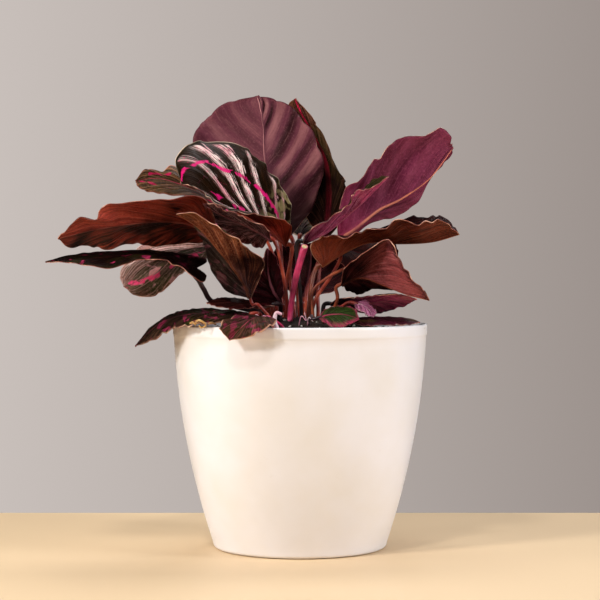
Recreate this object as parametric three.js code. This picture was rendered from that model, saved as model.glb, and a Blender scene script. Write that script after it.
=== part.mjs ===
import * as THREE from "three";

// A potted calathea: a round-leaved prayer plant in a plain tapered plastic pot.
// Millimetres, +Z up. The origin is the centre of the pot's flat underside.
// The front of the plant faces -Y.

// Pot
const POT_HEIGHT = 158;
const RIM_RADIUS = 90;
const BASE_RADIUS = 61;
const POT_BELLY = 6; // how far the wall bows out from a straight cone
const POT_WALL = 2;
const POT_FLOOR = 3;
const BASE_ROUNDING = 3;
const BAND_HEIGHT = 8; // the rim band stands a little proud of the wall
const BAND_STEP = 0.4;
const LIP_ROUNDING = 0.7;
const WALL_STEPS = 8;
const TURN_SEGMENTS = 48;

// Soil
const GAP = 0.3; // clearance between pieces that touch
const SOIL_EDGE = -5; // heights from here on are above the rim
const SOIL_CROWN = 3.5;
const CROWN_RADIUS = 14; // the flat top of the mound
const MOUND_RADIUS = 66; // where the mound has run out
const MOUND_STEPS = 6;

// Leaves
const BLADE_THICKNESS = 0.8;
const BLADE_ROWS = 8;
const BLADE_COLUMNS = 4;
const END_STRETCH = 0.08; // the margins meet at both ends, so sideways is taken this far in
const STEP = 0.01; // how far apart two points of a blade are compared to find its slope
const BULGE = 0.08; // each half bows towards the upper side by this part of its width
const BASE_HALF_WIDTH = 1.2;
const TIP_HALF_WIDTH = 0.5;
const STALK_RADIUS = 1.7;
const STALK_SIDES = 6;
const STALK_STEPS = 9;
const STALK_RISE = 4; // a stalk leaves the soil upright for this far
const STALK_SEAT = 0.6; // between the mounded soil and a stalk's flat foot
const STALK_LEAD = 5; // a stalk lines up with its midrib over this length
const STALK_GAP = 0.8; // between a stalk's end and its blade

const COLOURS = {
  purple: 0x6b4550,
  burgundy: 0x5e2436,
  redBrown: 0x5a2018,
  brown: 0x6e3a28,
  darkGreen: 0x23240f,
  olive: 0x4a4a1c,
  green: 0x3f5a28,
  stalk: 0x8a2f2c,
};

// Each leaf is drawn by three curves from its base to its tip: the midrib, and the left and
// right margins as seen on the upper side with the tip pointing away. Points are [x, y, height
// above the rim]. The stalk starts at root on the soil and follows its route to the base.
const LEAVES = {
  back_leaf: {
    colour: COLOURS.purple,
    midrib: [[-7, 10, 62], [-17, 14, 84], [-25, 20, 113], [-27, 30, 143], [-31, 40, 164]],
    left: [[8, 20, 82], [16, 26, 108], [11, 32, 132], [-3, 38, 152], [-16, 40, 161]],
    right: [[-28, 18, 77], [-57, 26, 95], [-77, 32, 123], [-70, 38, 145], [-53, 40, 159]],
    root: [-4, 8],
    route: [[-7, 8, 31], [-6, 9, 52]],
  },
  back_narrow_leaf: {
    colour: COLOURS.olive,
    midrib: [[18, 22, 59], [21, 30, 88], [19, 38, 116], [10, 44, 137], [2, 48, 150], [-4, 50, 163]],
    left: [[5, 28, 77], [1, 38, 103], [-2, 46, 125], [-6, 52, 146], [-8, 54, 159]],
    right: [[29, 30, 74], [34, 34, 97], [27, 38, 110], [18, 44, 133], [8, 48, 150]],
    root: [5, 11],
    route: [[5, 13, 23], [13, 18, 43]],
  },
  left_olive_leaf: {
    colour: COLOURS.olive,
    midrib: [[-52, 14, 83], [-68, 14, 91], [-86, 12, 99], [-102, 10, 103], [-117, 8, 101]],
    left: [[-56, 4, 79], [-75, 0, 89], [-94, 0, 92], [-108, 2, 94], [-115, 4, 97]],
    right: [[-57, 22, 88], [-73, 24, 98], [-90, 22, 112], [-102, 18, 109], [-111, 14, 109]],
    root: [-11, 9],
    route: [[-13, 11, 23], [-19, 13, 48], [-30, 14, 68]],
  },
  striped_leaf: {
    colour: COLOURS.darkGreen,
    midrib: [[-9, -10, 55], [-23, -20, 67], [-36, -32, 76], [-54, -44, 83], [-68, -52, 93],
      [-81, -50, 97]],
    left: [[-6, -18, 69], [-16, -32, 75], [-26, -44, 77], [-41, -52, 78], [-53, -58, 81],
      [-63, -60, 89], [-72, -57, 95]],
    right: [[-6, -2, 82], [-14, 4, 100], [-27, 6, 114], [-43, 4, 126], [-71, -10, 128],
      [-86, -28, 116]],
    root: [-7, -4],
    route: [[-10, -5, 24]],
  },
  under_leaf: {
    colour: COLOURS.burgundy,
    midrib: [[-21, -24, 60], [-31, -34, 66], [-44, -44, 72], [-57, -54, 78], [-65, -60, 83]],
    left: [[-24, -42, 67], [-39, -56, 74], [-52, -63, 79], [-60, -66, 83]],
    right: [[-25, -15, 54], [-31, -14, 55], [-42, -18, 59], [-52, -28, 66], [-61, -40, 74]],
    root: [-9, -15],
    route: [[-10, -18, 24], [-14, -21, 46]],
  },
  left_long_leaf: {
    colour: COLOURS.redBrown,
    midrib: [[-59, -30, 60], [-76, -34, 70], [-97, -38, 72], [-118, -42, 70], [-141, -46, 66],
      [-165, -50, 60]],
    left: [[-59, -52, 75], [-68, -64, 87], [-91, -68, 85], [-115, -68, 83], [-133, -66, 81],
      [-138, -62, 71], [-149, -60, 73], [-159, -55, 65]],
    right: [[-60, -18, 57], [-78, -10, 58], [-99, -8, 55], [-116, -10, 57], [-134, -14, 53],
      [-148, -22, 55], [-159, -36, 54]],
    root: [-19, -6],
    route: [[-24, -8, 24], [-41, -20, 43]],
  },
  left_drooping_leaf: {
    colour: COLOURS.olive,
    midrib: [[-63, -2, 55], [-78, -4, 53], [-95, -8, 48], [-111, -10, 39], [-123, -12, 26]],
    left: [[-67, -16, 43], [-79, -24, 37], [-89, -30, 28], [-101, -30, 19], [-115, -22, 20]],
    right: [[-72, 12, 59], [-94, 18, 57], [-114, 16, 52], [-124, 8, 41], [-126, -2, 32]],
    root: [-15, 2],
    route: [[-22, 2, 19], [-43, 0, 41]],
  },
  left_dark_leaf: {
    colour: COLOURS.darkGreen,
    midrib: [[-74, -50, 37], [-81, -53, 44], [-93, -57, 47], [-115, -62, 48], [-142, -66, 46],
      [-171, -68, 44]],
    left: [[-64, -57, 36], [-66, -67, 31], [-80, -76, 41], [-100, -82, 46], [-126, -84, 40], [-150, -80, 43]],
    right: [[-64, -42, 43], [-67, -33, 46], [-80, -28, 47], [-104, -32, 50], [-134, -42, 50], [-156, -56, 48]],
    root: [-24, -12],
    route: [[-42, -30, 12], [-60, -36, 16], [-66, -44, 25]],
  },
  left_folded_leaf: {
    colour: COLOURS.brown,
    midrib: [[-34, -48, 19], [-38, -50, 29], [-46, -54, 41], [-57, -62, 55], [-69, -70, 68],
      [-82, -76, 76]],
    left: [[-28, -50, 33], [-25, -58, 44], [-34, -66, 52], [-44, -72, 60], [-58, -78, 69],
      [-70, -80, 76]],
    right: [[-50, -36, 24], [-61, -42, 41], [-64, -50, 54], [-67, -58, 61], [-73, -68, 70]],
    root: [-18, -43],
    route: [[-28, -50, 14]],
  },
  centre_leaf: {
    colour: COLOURS.burgundy,
    midrib: [[-14, -13, 15], [-20, -16, 25], [-23, -18, 38], [-23, -22, 53]],
    left: [[-12, -12, 24], [-14, -14, 36], [-18, -18, 48]],
    right: [[-30, -19, 16], [-38, -24, 22], [-34, -27, 33], [-27, -26, 43]],
    root: [-17, -12],
    route: [],
  },
  left_low_leaf: {
    colour: COLOURS.burgundy,
    midrib: [[-18, -28, 14], [-35, -38, 15], [-50, -48, 16], [-63, -58, 16]],
    left: [[-29, -38, 13], [-44, -56, 12], [-57, -62, 14]],
    right: [[-29, -27, 16], [-42, -28, 18], [-54, -44, 19]],
    root: [-14, -22],
    route: [],
  },
  left_rim_leaf: {
    colour: COLOURS.redBrown,
    midrib: [[-33, -46, 8], [-54, -50, 8], [-76, -46, 8], [-97, -34, 1], [-115, -22, -15]],
    left: [[-38, -62, 4], [-59, -70, 4], [-74, -64, 2], [-88, -50, -1], [-101, -40, -9]],
    right: [[-36, -30, 7], [-61, -20, 9], [-86, -6, 5], [-105, -8, -5]],
    root: [-27, -30],
    route: [],
  },
  front_rim_leaf: {
    colour: COLOURS.green,
    midrib: [[-23, -60, 6], [-31, -77, 6], [-38, -90, 1], [-47, -89, -8]],
    left: [[-16, -74, 5], [-21, -96, 1], [-33, -97, -5]],
    right: [[-34, -66, 7], [-46, -80, 6], [-53, -88, 0]],
    root: [-12, -55],
    route: [],
    bulge: 0.13,
  },
  right_upper_leaf: {
    colour: COLOURS.burgundy,
    midrib: [[27, 4, 60], [40, 8, 68], [55, 12, 80], [74, 16, 90], [93, 20, 104], [110, 26, 126]],
    left: [[37, 14, 62], [52, 22, 73], [69, 28, 77], [85, 32, 88], [97, 34, 108], [108, 32, 120]],
    right: [[27, -2, 76], [35, 0, 98], [49, 0, 110], [56, 2, 120], [74, 6, 132], [98, 14, 139],
      [108, 20, 134]],
    root: [8, -4],
    route: [[12, -3, 19], [23, 0, 35], [29, 4, 48]],
  },
  spear_leaf: {
    colour: COLOURS.burgundy,
    midrib: [[2, -14, 57], [17, -18, 64], [31, -22, 75], [45, -26, 87], [61, -30, 103]],
    left: [[6, -8, 62], [19, -8, 71], [32, -12, 83], [44, -18, 95], [54, -24, 102]],
    right: [[5, -20, 64], [19, -28, 73], [32, -34, 82], [38, -36, 92], [49, -34, 95]],
    root: [1, -9],
    route: [[0, -11, 24]],
  },
  right_long_leaf: {
    colour: COLOURS.brown,
    midrib: [[15, -14, 41], [31, -18, 51], [48, -22, 58], [69, -26, 57], [91, -30, 58], [110, -32, 63]],
    left: [[31, -8, 53], [42, 4, 59], [57, 12, 66], [73, 14, 74], [85, 8, 76], [99, -2, 75],
      [106, -16, 71]],
    right: [[9, -26, 48], [8, -34, 57], [17, -42, 61], [30, -48, 61], [42, -50, 65], [57, -54, 67],
      [67, -58, 72], [79, -56, 70], [93, -50, 72], [103, -42, 69]],
    root: [6, -18],
    route: [[7, -18, 20]],
  },
  right_inner_leaf: {
    colour: COLOURS.redBrown,
    midrib: [[32, -24, 39], [42, -20, 43], [54, -14, 48], [69, -8, 52]],
    left: [[36, -8, 43], [49, 4, 50], [65, 4, 59]],
    right: [[40, -34, 38], [54, -30, 41], [67, -18, 43]],
    root: [9, -26],
    route: [[9, -26, 23], [18, -26, 32]],
  },
  right_drooping_leaf: {
    colour: COLOURS.redBrown,
    midrib: [[29, -28, 28], [36, -32, 32], [45, -38, 33], [58, -44, 28], [73, -50, 22], [88, -54, 18]],
    left: [[32, -18, 24], [40, -14, 22], [51, -16, 25], [64, -26, 25], [75, -38, 21]],
    right: [[31, -44, 39], [42, -58, 48], [59, -70, 58], [66, -72, 46], [75, -66, 33], [84, -60, 25]],
    root: [22, -22],
    route: [[26, -26, 18]],
  },
  right_low_leaf: {
    colour: COLOURS.burgundy,
    midrib: [[22, -8, 14], [35, -14, 15], [50, -20, 16], [66, -26, 18], [81, -30, 18]],
    left: [[32, 4, 9], [51, 6, 7], [62, 0, 9], [73, -14, 13]],
    right: [[28, -22, 18], [42, -34, 19], [56, -40, 21], [70, -36, 21]],
    root: [16, -6],
    route: [],
  },
  small_green_leaf: {
    colour: COLOURS.green,
    midrib: [[13, -60, 6], [21, -62, 8], [30, -64, 8], [40, -64, 5]],
    left: [[17, -50, 11], [27, -46, 13], [37, -52, 12]],
    right: [[17, -70, 3], [25, -76, 0], [33, -74, 2]],
    root: [6, -38],
    route: [[8, -52, 7]],
  },
  pink_leaf: {
    colour: COLOURS.burgundy,
    midrib: [[38, -42, 15], [43, -46, 14], [47, -50, 11], [50, -52, 6]],
    left: [[45, -40, 17], [49, -44, 13], [52, -48, 9]],
    right: [[39, -50, 12], [43, -53, 10], [47, -54, 7]],
    root: [17, -30],
    route: [[29, -36, 13]],
  },
  right_rim_leaf: {
    colour: COLOURS.burgundy,
    midrib: [[32, -40, 4], [48, -42, 4], [67, -38, 3], [83, -28, 2]],
    left: [[43, -24, 4], [64, -18, 4], [78, -18, 3]],
    right: [[42, -58, 1], [62, -56, 1], [75, -44, 1]],
    root: [24, -26],
    route: [],
  },
  rear_leaf: {
    colour: COLOURS.darkGreen,
    midrib: [[0, 30, 62], [3, 55, 78], [4, 85, 85], [3, 120, 82]],
    left: [[-9, 38, 67], [-24, 60, 80], [-19, 90, 89], [-7, 112, 85]],
    right: [[10, 38, 67], [22, 60, 80], [21, 90, 89], [10, 112, 85]],
    root: [-1, 19],
    route: [[-2, 20, 30]],
  },
  rear_left_leaf: {
    colour: COLOURS.darkGreen,
    midrib: [[-18, 26, 59], [-37, 42, 68], [-55, 62, 74], [-72, 84, 76]],
    left: [[-26, 24, 59], [-47, 32, 62], [-64, 54, 67]],
    right: [[-24, 42, 73], [-42, 66, 85], [-61, 84, 84]],
    root: [-11, 18],
    route: [[-12, 18, 23]],
  },
  rear_low_leaf: {
    colour: COLOURS.burgundy,
    midrib: [[3, 26, 17], [6, 36, 29], [8, 44, 43], [8, 50, 57]],
    left: [[26, 30, 24], [33, 38, 37], [30, 46, 52]],
    right: [[-14, 32, 27], [-20, 40, 40], [-16, 48, 54]],
    root: [2, 28],
    route: [],
  },
  rear_drooping_leaf: {
    colour: COLOURS.redBrown,
    midrib: [[-14, 40, 11], [-16, 66, 13], [-19, 92, 5], [-22, 112, -12]],
    left: [[-27, 42, 10], [-36, 64, 11], [-35, 92, 2]],
    right: [[-3, 48, 11], [3, 70, 12], [-2, 96, 1]],
    root: [-8, 28],
    route: [],
  },
  rear_right_leaf: {
    colour: COLOURS.darkGreen,
    midrib: [[21, 30, 55], [36, 38, 52], [52, 44, 47], [68, 48, 40]],
    left: [[30, 46, 62], [46, 56, 62], [62, 60, 54]],
    right: [[28, 22, 44], [44, 24, 34], [60, 32, 30]],
    root: [13, 14],
    route: [[13, 16, 26]],
  },
};

// Short stems with no blade: one cut back, one still curled.
const SHOOTS = {
  cut_stalk: {
    colour: 0xb8324f,
    radius: 2.6,
    root: [-7, -30],
    path: [[-6, -30, 15], [-2, -30, 36], [4, -30, 56]],
  },
  curled_shoot: {
    colour: 0xd98a92,
    radius: 1.2,
    root: [-14, -62],
    path: [[-17, -62, 3], [-16, -62, 9], [-12, -62, 8]],
  },
};

const plant = new THREE.Group();

function addPiece(name, geometry, colour, roughness) {
  const material = new THREE.MeshStandardMaterial({ color: colour, roughness, metalness: 0 });
  const mesh = new THREE.Mesh(geometry, material);
  mesh.name = name;
  plant.add(mesh);
}

// A closed solid of revolution about Z, from [radius, height] points that start and end at radius 0.
function revolve(profile) {
  const points = profile.map(([radius, height]) => new THREE.Vector2(radius, height));
  return new THREE.LatheGeometry(points, TURN_SEGMENTS).rotateX(Math.PI / 2);
}

function wallRadius(height) {
  const t = height / POT_HEIGHT;
  return THREE.MathUtils.lerp(BASE_RADIUS, RIM_RADIUS, t) + 4 * POT_BELLY * t * (1 - t);
}

function wallPoints(from, to, offset) {
  return Array.from({ length: WALL_STEPS + 1 }, (_, i) => {
    const height = THREE.MathUtils.lerp(from, to, i / WALL_STEPS);
    return [wallRadius(height) + offset, height];
  });
}

function potGeometry() {
  const bandFoot = POT_HEIGHT - BAND_HEIGHT;
  return revolve([
    [0, 0],
    [wallRadius(BASE_ROUNDING) - BASE_ROUNDING, 0],
    ...wallPoints(BASE_ROUNDING, bandFoot, -BAND_STEP),
    [wallRadius(bandFoot), bandFoot + BAND_STEP],
    [RIM_RADIUS, POT_HEIGHT - LIP_ROUNDING],
    [RIM_RADIUS - LIP_ROUNDING, POT_HEIGHT],
    ...wallPoints(POT_HEIGHT, POT_FLOOR, -BAND_STEP - POT_WALL),
    [0, POT_FLOOR],
  ]);
}

function soilHeight(radius) {
  const t = THREE.MathUtils.clamp((radius - CROWN_RADIUS) / (MOUND_RADIUS - CROWN_RADIUS), 0, 1);
  const fall = 0.5 - 0.5 * Math.cos(Math.PI * t);
  return POT_HEIGHT + THREE.MathUtils.lerp(SOIL_CROWN, SOIL_EDGE, fall);
}

function soilGeometry() {
  const sides = wallPoints(POT_FLOOR + GAP, POT_HEIGHT + SOIL_EDGE, -BAND_STEP - POT_WALL - GAP);
  const mound = Array.from({ length: MOUND_STEPS + 1 }, (_, i) => {
    const radius = THREE.MathUtils.lerp(MOUND_RADIUS, CROWN_RADIUS, i / MOUND_STEPS);
    return [radius, soilHeight(radius)];
  });
  return revolve([[0, POT_FLOOR + GAP], ...sides, ...mound, [0, soilHeight(0)]]);
}

const aboveRim = ([x, y, height]) => new THREE.Vector3(x, y, POT_HEIGHT + height);
const curveThrough = (points) => new THREE.CatmullRomCurve3(points, false, "catmullrom", 0.5);

function leafCurves({ midrib, left, right }) {
  const [base, tip] = [midrib[0], midrib.at(-1)];
  return {
    midrib: curveThrough(midrib.map(aboveRim)),
    left: curveThrough([base, ...left, tip].map(aboveRim)),
    right: curveThrough([base, ...right, tip].map(aboveRim)),
  };
}

// A point of the blade: along runs from 0 at the base to 1 at the tip, and across from -1 at the
// left margin, through 0 at the midrib, to 1 at the right margin.
function bladePoint(curves, along, across, bulge) {
  const onMidrib = curves.midrib.getPoint(along);
  const toMargin = (across < 0 ? curves.left : curves.right).getPoint(along).sub(onMidrib);
  const side = Math.abs(across);
  const width = toMargin.length();

  const forward = curves.midrib.getTangent(along);
  const inside = THREE.MathUtils.clamp(along, END_STRETCH, 1 - END_STRETCH);
  const sideways = curves.right.getPoint(inside).sub(curves.left.getPoint(inside));
  sideways.addScaledVector(forward, -sideways.dot(forward)).normalize();
  const upwards = sideways.clone().cross(forward);

  const endWidth = THREE.MathUtils.lerp(BASE_HALF_WIDTH, TIP_HALF_WIDTH, along);
  return onMidrib
    .addScaledVector(toMargin, side)
    .addScaledVector(sideways, across * endWidth)
    .addScaledVector(upwards, 4 * side * (1 - side) * bulge * width);
}

// A box splits its last side along the other diagonals. Both sides of a twisted blade need the
// same ones, or they cut through each other.
function matchDiagonals(geometry) {
  const { index, groups } = geometry;
  const { start, count } = groups.at(-1);
  for (let i = start; i < start + count; i += 6) {
    const [a, b, d, c] = [0, 1, 2, 4].map((k) => index.getX(i + k));
    [a, b, c, a, c, d].forEach((corner, k) => index.setX(i + k, corner));
  }
}

// A box of rows and columns is laid on the blade's surface, so the blade is one closed solid.
function bladeGeometry(leaf) {
  const curves = leafCurves(leaf);
  const bulge = leaf.bulge ?? BULGE;
  const geometry = new THREE.BoxGeometry(2, 1, 1, BLADE_COLUMNS, BLADE_ROWS, 1);
  matchDiagonals(geometry);
  const position = geometry.attributes.position;
  const surface = (along, across) => bladePoint(curves, along, across, bulge);
  for (let i = 0; i < position.count; i++) {
    const across = position.getX(i);
    const along = position.getY(i) + 0.5;
    const [nearer, further] = [Math.max(along - STEP, 0), Math.min(along + STEP, 1)];
    const [lefter, righter] = [Math.max(across - STEP, -1), Math.min(across + STEP, 1)];
    const lengthways = surface(further, across).sub(surface(nearer, across));
    const crossways = surface(along, righter).sub(surface(along, lefter));
    const normal = crossways.cross(lengthways).normalize();
    const point = surface(along, across).addScaledVector(normal, position.getZ(i) * BLADE_THICKNESS);
    position.setXYZ(i, point.x, point.y, point.z);
  }
  geometry.computeVertexNormals();
  return geometry;
}

function tubeGeometry(points, radius) {
  const section = new THREE.Shape().absarc(0, 0, radius, 0, 2 * Math.PI);
  return new THREE.ExtrudeGeometry(section, {
    steps: STALK_STEPS,
    curveSegments: STALK_SIDES / 2,
    extrudePath: curveThrough(points),
  });
}

const onSoil = ([x, y]) => new THREE.Vector3(x, y, soilHeight(Math.hypot(x, y)) + STALK_SEAT);

// A stalk stands on the soil at its root and ends just short of its leaf's blade.
function stalkPoints({ root, route, midrib }) {
  const foot = onSoil(root);
  const base = aboveRim(midrib[0]);
  const backwards = curveThrough(midrib.map(aboveRim)).getTangent(0).negate();
  return [
    foot,
    foot.clone().setZ(foot.z + STALK_RISE),
    ...route.map(aboveRim),
    base.clone().addScaledVector(backwards, STALK_LEAD),
    base.clone().addScaledVector(backwards, STALK_GAP),
  ];
}

addPiece("pot", potGeometry(), 0xf3eeea, 0.35);
addPiece("soil", soilGeometry(), 0x2a1c15, 0.95);
for (const [name, leaf] of Object.entries(LEAVES)) {
  addPiece(name, bladeGeometry(leaf), leaf.colour, 0.45);
  addPiece(name.replace("leaf", "stalk"), tubeGeometry(stalkPoints(leaf), STALK_RADIUS), COLOURS.stalk, 0.4);
}
for (const [name, { colour, radius, root, path }] of Object.entries(SHOOTS)) {
  addPiece(name, tubeGeometry([onSoil(root), ...path.map(aboveRim)], radius), colour, 0.45);
}

export default plant;
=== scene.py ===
import math
import random
from functools import cache, partial
import bmesh
import bpy
from mathutils import Matrix, Vector, noise


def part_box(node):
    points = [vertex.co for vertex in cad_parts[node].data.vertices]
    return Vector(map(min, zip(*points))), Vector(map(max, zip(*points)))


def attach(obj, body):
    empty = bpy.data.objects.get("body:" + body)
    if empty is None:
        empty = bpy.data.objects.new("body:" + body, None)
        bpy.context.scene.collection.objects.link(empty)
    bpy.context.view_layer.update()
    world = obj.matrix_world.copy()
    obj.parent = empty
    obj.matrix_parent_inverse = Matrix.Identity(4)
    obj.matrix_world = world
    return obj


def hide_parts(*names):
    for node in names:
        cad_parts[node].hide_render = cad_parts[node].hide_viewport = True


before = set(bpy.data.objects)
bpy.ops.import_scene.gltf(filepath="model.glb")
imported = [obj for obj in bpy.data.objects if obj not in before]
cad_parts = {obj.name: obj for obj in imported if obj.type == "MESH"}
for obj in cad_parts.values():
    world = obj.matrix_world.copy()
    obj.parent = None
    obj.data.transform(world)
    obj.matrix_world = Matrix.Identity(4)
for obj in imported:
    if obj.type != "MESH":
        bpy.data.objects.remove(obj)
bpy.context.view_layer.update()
scene = bpy.context.scene

# sizes are written in millimetres, and places from the middle of the pot's rim: x to the right,
# y towards the back, and the height above the rim
mm = 0.001
potLow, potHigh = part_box("pot")
potHeight = (potHigh.z - potLow.z) / mm
rimRadius = (potHigh.x - potLow.x) / 2 / mm
rimCentre = Vector(((potLow.x + potHigh.x) / 2, (potLow.y + potHigh.y) / 2, potHigh.z))
print("frame loaded:", len(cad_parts), "nodes, rim", round(2 * rimRadius), "mm across")


def aboveRim(point):
    return rimCentre + Vector(point) * mm


def curveAbove(points):
    return [aboveRim(point) for point in points]


def lerp(a, b, t):
    return a + (b - a) * t


def limit(value, low=0.0, high=1.0):
    return max(low, min(high, value))


def linear(hexColour):
    channels = [int(hexColour[i:i + 2], 16) / 255 for i in (1, 3, 5)]
    return tuple(c / 12.92 if c <= 0.04045 else ((c + 0.055) / 1.055) ** 2.4 for c in channels) + (1.0,)


def perMetre(size):  # a texture's scale for features of this size in mm
    return 1000 / size


def openSocket(sockets, name):
    if isinstance(name, int):
        return sockets[name]
    return next(s for s in sockets if s.enabled and (s.name == name or name is None))


# a shader node: a setting is the value of a property or a socket, or what the socket is linked to
def addNode(tree, kind, settings=None):
    node = tree.nodes.new("ShaderNode" + kind)
    for name, value in (settings or {}).items():
        if isinstance(value, bpy.types.Node):
            value = openSocket(value.outputs, None)
        if name == "stops":
            elements = node.color_ramp.elements
            while len(elements) < len(value):
                elements.new(1)
            for element, (position, colour) in zip(elements, value):
                element.position = position
                element.color = linear(colour)
        elif isinstance(value, bpy.types.NodeSocket):
            tree.links.new(openSocket(node.inputs, name), value)
        elif isinstance(name, str) and hasattr(node, name):
            setattr(node, name, value)
        else:
            openSocket(node.inputs, name).default_value = value
    return node


def newMaterial(name):
    material = bpy.data.materials.new(name)
    material.use_nodes = True
    material.node_tree.nodes.clear()
    return material, material.node_tree


def objectPlace(tree):
    return addNode(tree, "TexCoord").outputs["Object"]


def addNoise(tree, place, size, detail, rough=0.5):
    return addNode(tree, "TexNoise", {"Scale": perMetre(size), "Detail": detail, "Roughness": rough,
                                      "Vector": place})


def addRamp(tree, value, start, end, low=0.0, high=1.0):
    return addNode(tree, "MapRange", {"From Min": start, "From Max": end, "To Min": low, "To Max": high,
                                      "Value": value})


def addMath(tree, operation, *terms):
    return addNode(tree, "Math", {"operation": operation, **dict(enumerate(terms))})


def addMix(tree, factor, first, second):
    return addNode(tree, "Mix", {"data_type": "RGBA", "Factor": factor, "A": first, "B": second})


def addColours(tree, value, *stops):
    return addNode(tree, "ValToRGB", {"stops": stops, "Fac": value})


def addBump(tree, height, strength, depth, **more):  # depth in mm
    return addNode(tree, "Bump", {"Strength": strength, "Distance": depth * mm, "Height": height, **more})


def finishSkin(tree, settings):
    addNode(tree, "OutputMaterial", {"Surface": addNode(tree, "BsdfPrincipled", settings)})


def finishPiece(name, bm, materials, slotName, nodes=(), smooth=True):
    mesh = bpy.data.meshes.new(name)
    bm.to_mesh(mesh)
    bm.free()
    for material in materials:
        mesh.materials.append(material)
    if smooth:
        mesh.shade_smooth()
    piece = bpy.data.objects.new(name, mesh)
    scene.collection.objects.link(piece)
    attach(piece, "root")
    if nodes:
        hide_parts(*nodes)
    return piece


# a flat grid whose corners are then set where place(vert, across, along) says, both from 0 to 1
def layGrid(bm, columns, rows, place):
    bm.loops.layers.uv.verify()
    made = bmesh.ops.create_grid(bm, x_segments=columns, y_segments=rows, size=0.5, calc_uvs=True)
    for vert in made["verts"]:
        vert.co = place(vert, vert.co.x + 0.5, vert.co.y + 0.5)
    return made["verts"]


# a smooth curve through all its points, each span taking an equal share of t
def curvePoint(points, t):
    spans = len(points) - 1
    at = limit(t) * spans
    i = min(int(at), spans - 1)
    s = at - i
    start, end = points[i], points[i + 1]
    before = points[i - 1] if i > 0 else 2 * start - end
    after = points[i + 2] if i + 2 <= spans else 2 * end - start
    leave, arrive = (end - before) / 2, (after - start) / 2
    return (start * (2 * s**3 - 3 * s**2 + 1) + leave * (s**3 - 2 * s**2 + s)
            + end * (3 * s**2 - 2 * s**3) + arrive * (s**3 - s**2))


def curveSlope(points, t, step=0.004):
    return (curvePoint(points, t + step) - curvePoint(points, t - step)).normalized()


def pathLength(points):  # in mm
    return sum((b - a).length for a, b in zip(points, points[1:])) / mm


# a round stem along the points, closed at both ends; radius(t) is in mm
def growStem(bm, points, radius, sides=10, steps=40):
    frames = []
    side = curveSlope(points, 0).orthogonal()
    for i in range(steps + 1):
        forward = curveSlope(points, i / steps)
        side = (side - forward * side.dot(forward)).normalized()
        frames.append((curvePoint(points, i / steps), side, forward.cross(side)))

    def place(vert, around, along):
        step = round(along * steps)
        middle, right, up = frames[step]
        angle = 2 * math.pi * around
        size = 0 if step in (0, steps) else radius(along) * mm
        return middle + (right * math.cos(angle) + up * math.sin(angle)) * size

    verts = layGrid(bm, sides, steps, place)
    bmesh.ops.remove_doubles(bm, verts=verts, dist=1e-7)


# the pot

pot = {
    "height": potHeight,
    "rimRadius": rimRadius,
    "baseRadius": 61,
    "belly": 6,  # how far the wall bows out from a straight cone
    "wall": 2,
    "floor": 3,
    "recess": 0.9,  # how far the middle of the underside is raised, and out to where
    "recessRadius": 46,
    "foot": 3,  # height of the rounded foot, and its depth inwards
    "footDepth": 2.6,
    "lip": 1.2,  # radius of the rounded lip
    "band": 8,  # the rim band and how far it stands out
    "bandStep": 0.4,
    "wallSteps": 28,
    "roundSteps": 6,
    "turns": 160,
    "white": "#e8e5e6",
    "cream": "#e2dcd5",  # where the wall is a little thicker or has yellowed
    "scuff": "#cfc6bb",
    "speck": "#8f6b4c",
    "roughness": 0.34,
}


def wallRadius(height):
    t = height / pot["height"]
    return lerp(pot["baseRadius"], pot["rimRadius"], t) + 4 * pot["belly"] * t * (1 - t)


def potProfile():
    top, bandFoot = pot["height"], pot["height"] - pot["band"]
    foot, lip, recess = pot["foot"], pot["lip"], pot["recessRadius"]
    step, wall, count, bends = pot["bandStep"], pot["wall"], pot["wallSteps"], pot["roundSteps"]
    points = [(0, pot["recess"]), (recess, pot["recess"]), (recess + 2, 0.1), (wallRadius(foot) - 3.2, 0)]
    for i in range(1, bends):
        turn = math.pi / 2 * i / (bends - 1)
        radius = wallRadius(foot) - step - pot["footDepth"] + pot["footDepth"] * math.sin(turn)
        points.append((radius, foot - foot * math.cos(turn)))
    for i in range(1, count + 1):
        height = lerp(foot, bandFoot - 0.5, i / count)
        points.append((wallRadius(height) - step, height))
    points += [(wallRadius(bandFoot) - 0.25, bandFoot - 0.15), (wallRadius(bandFoot), bandFoot + 0.25)]
    for share in (0.2, 0.5, 0.8):
        height = lerp(bandFoot, top, share)
        points.append((wallRadius(height), height))
    for i in range(1, bends):
        turn = math.pi * i / bends
        points.append((pot["rimRadius"] - lip + lip * math.cos(turn), top - lip + lip * math.sin(turn)))
    for i in range(count + 1):
        height = lerp(top - 1.4, pot["floor"] + 2, i / count)
        points.append((wallRadius(height) - step - wall, height))
    return points + [(wallRadius(foot) - step - wall - 2, pot["floor"]), (0, pot["floor"])]


def spinProfile(bm, points, turns):
    verts = [bm.verts.new(Vector((radius, 0, height)) * mm) for radius, height in points]
    edges = [bm.edges.new(pair) for pair in zip(verts, verts[1:])]
    bmesh.ops.spin(bm, geom=verts + edges, cent=(0, 0, 0), axis=(0, 0, 1), angle=2 * math.pi,
                   steps=turns, use_merge=True)
    bmesh.ops.remove_doubles(bm, verts=bm.verts[:], dist=1e-6)
    bmesh.ops.recalc_face_normals(bm, faces=bm.faces[:])


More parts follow.
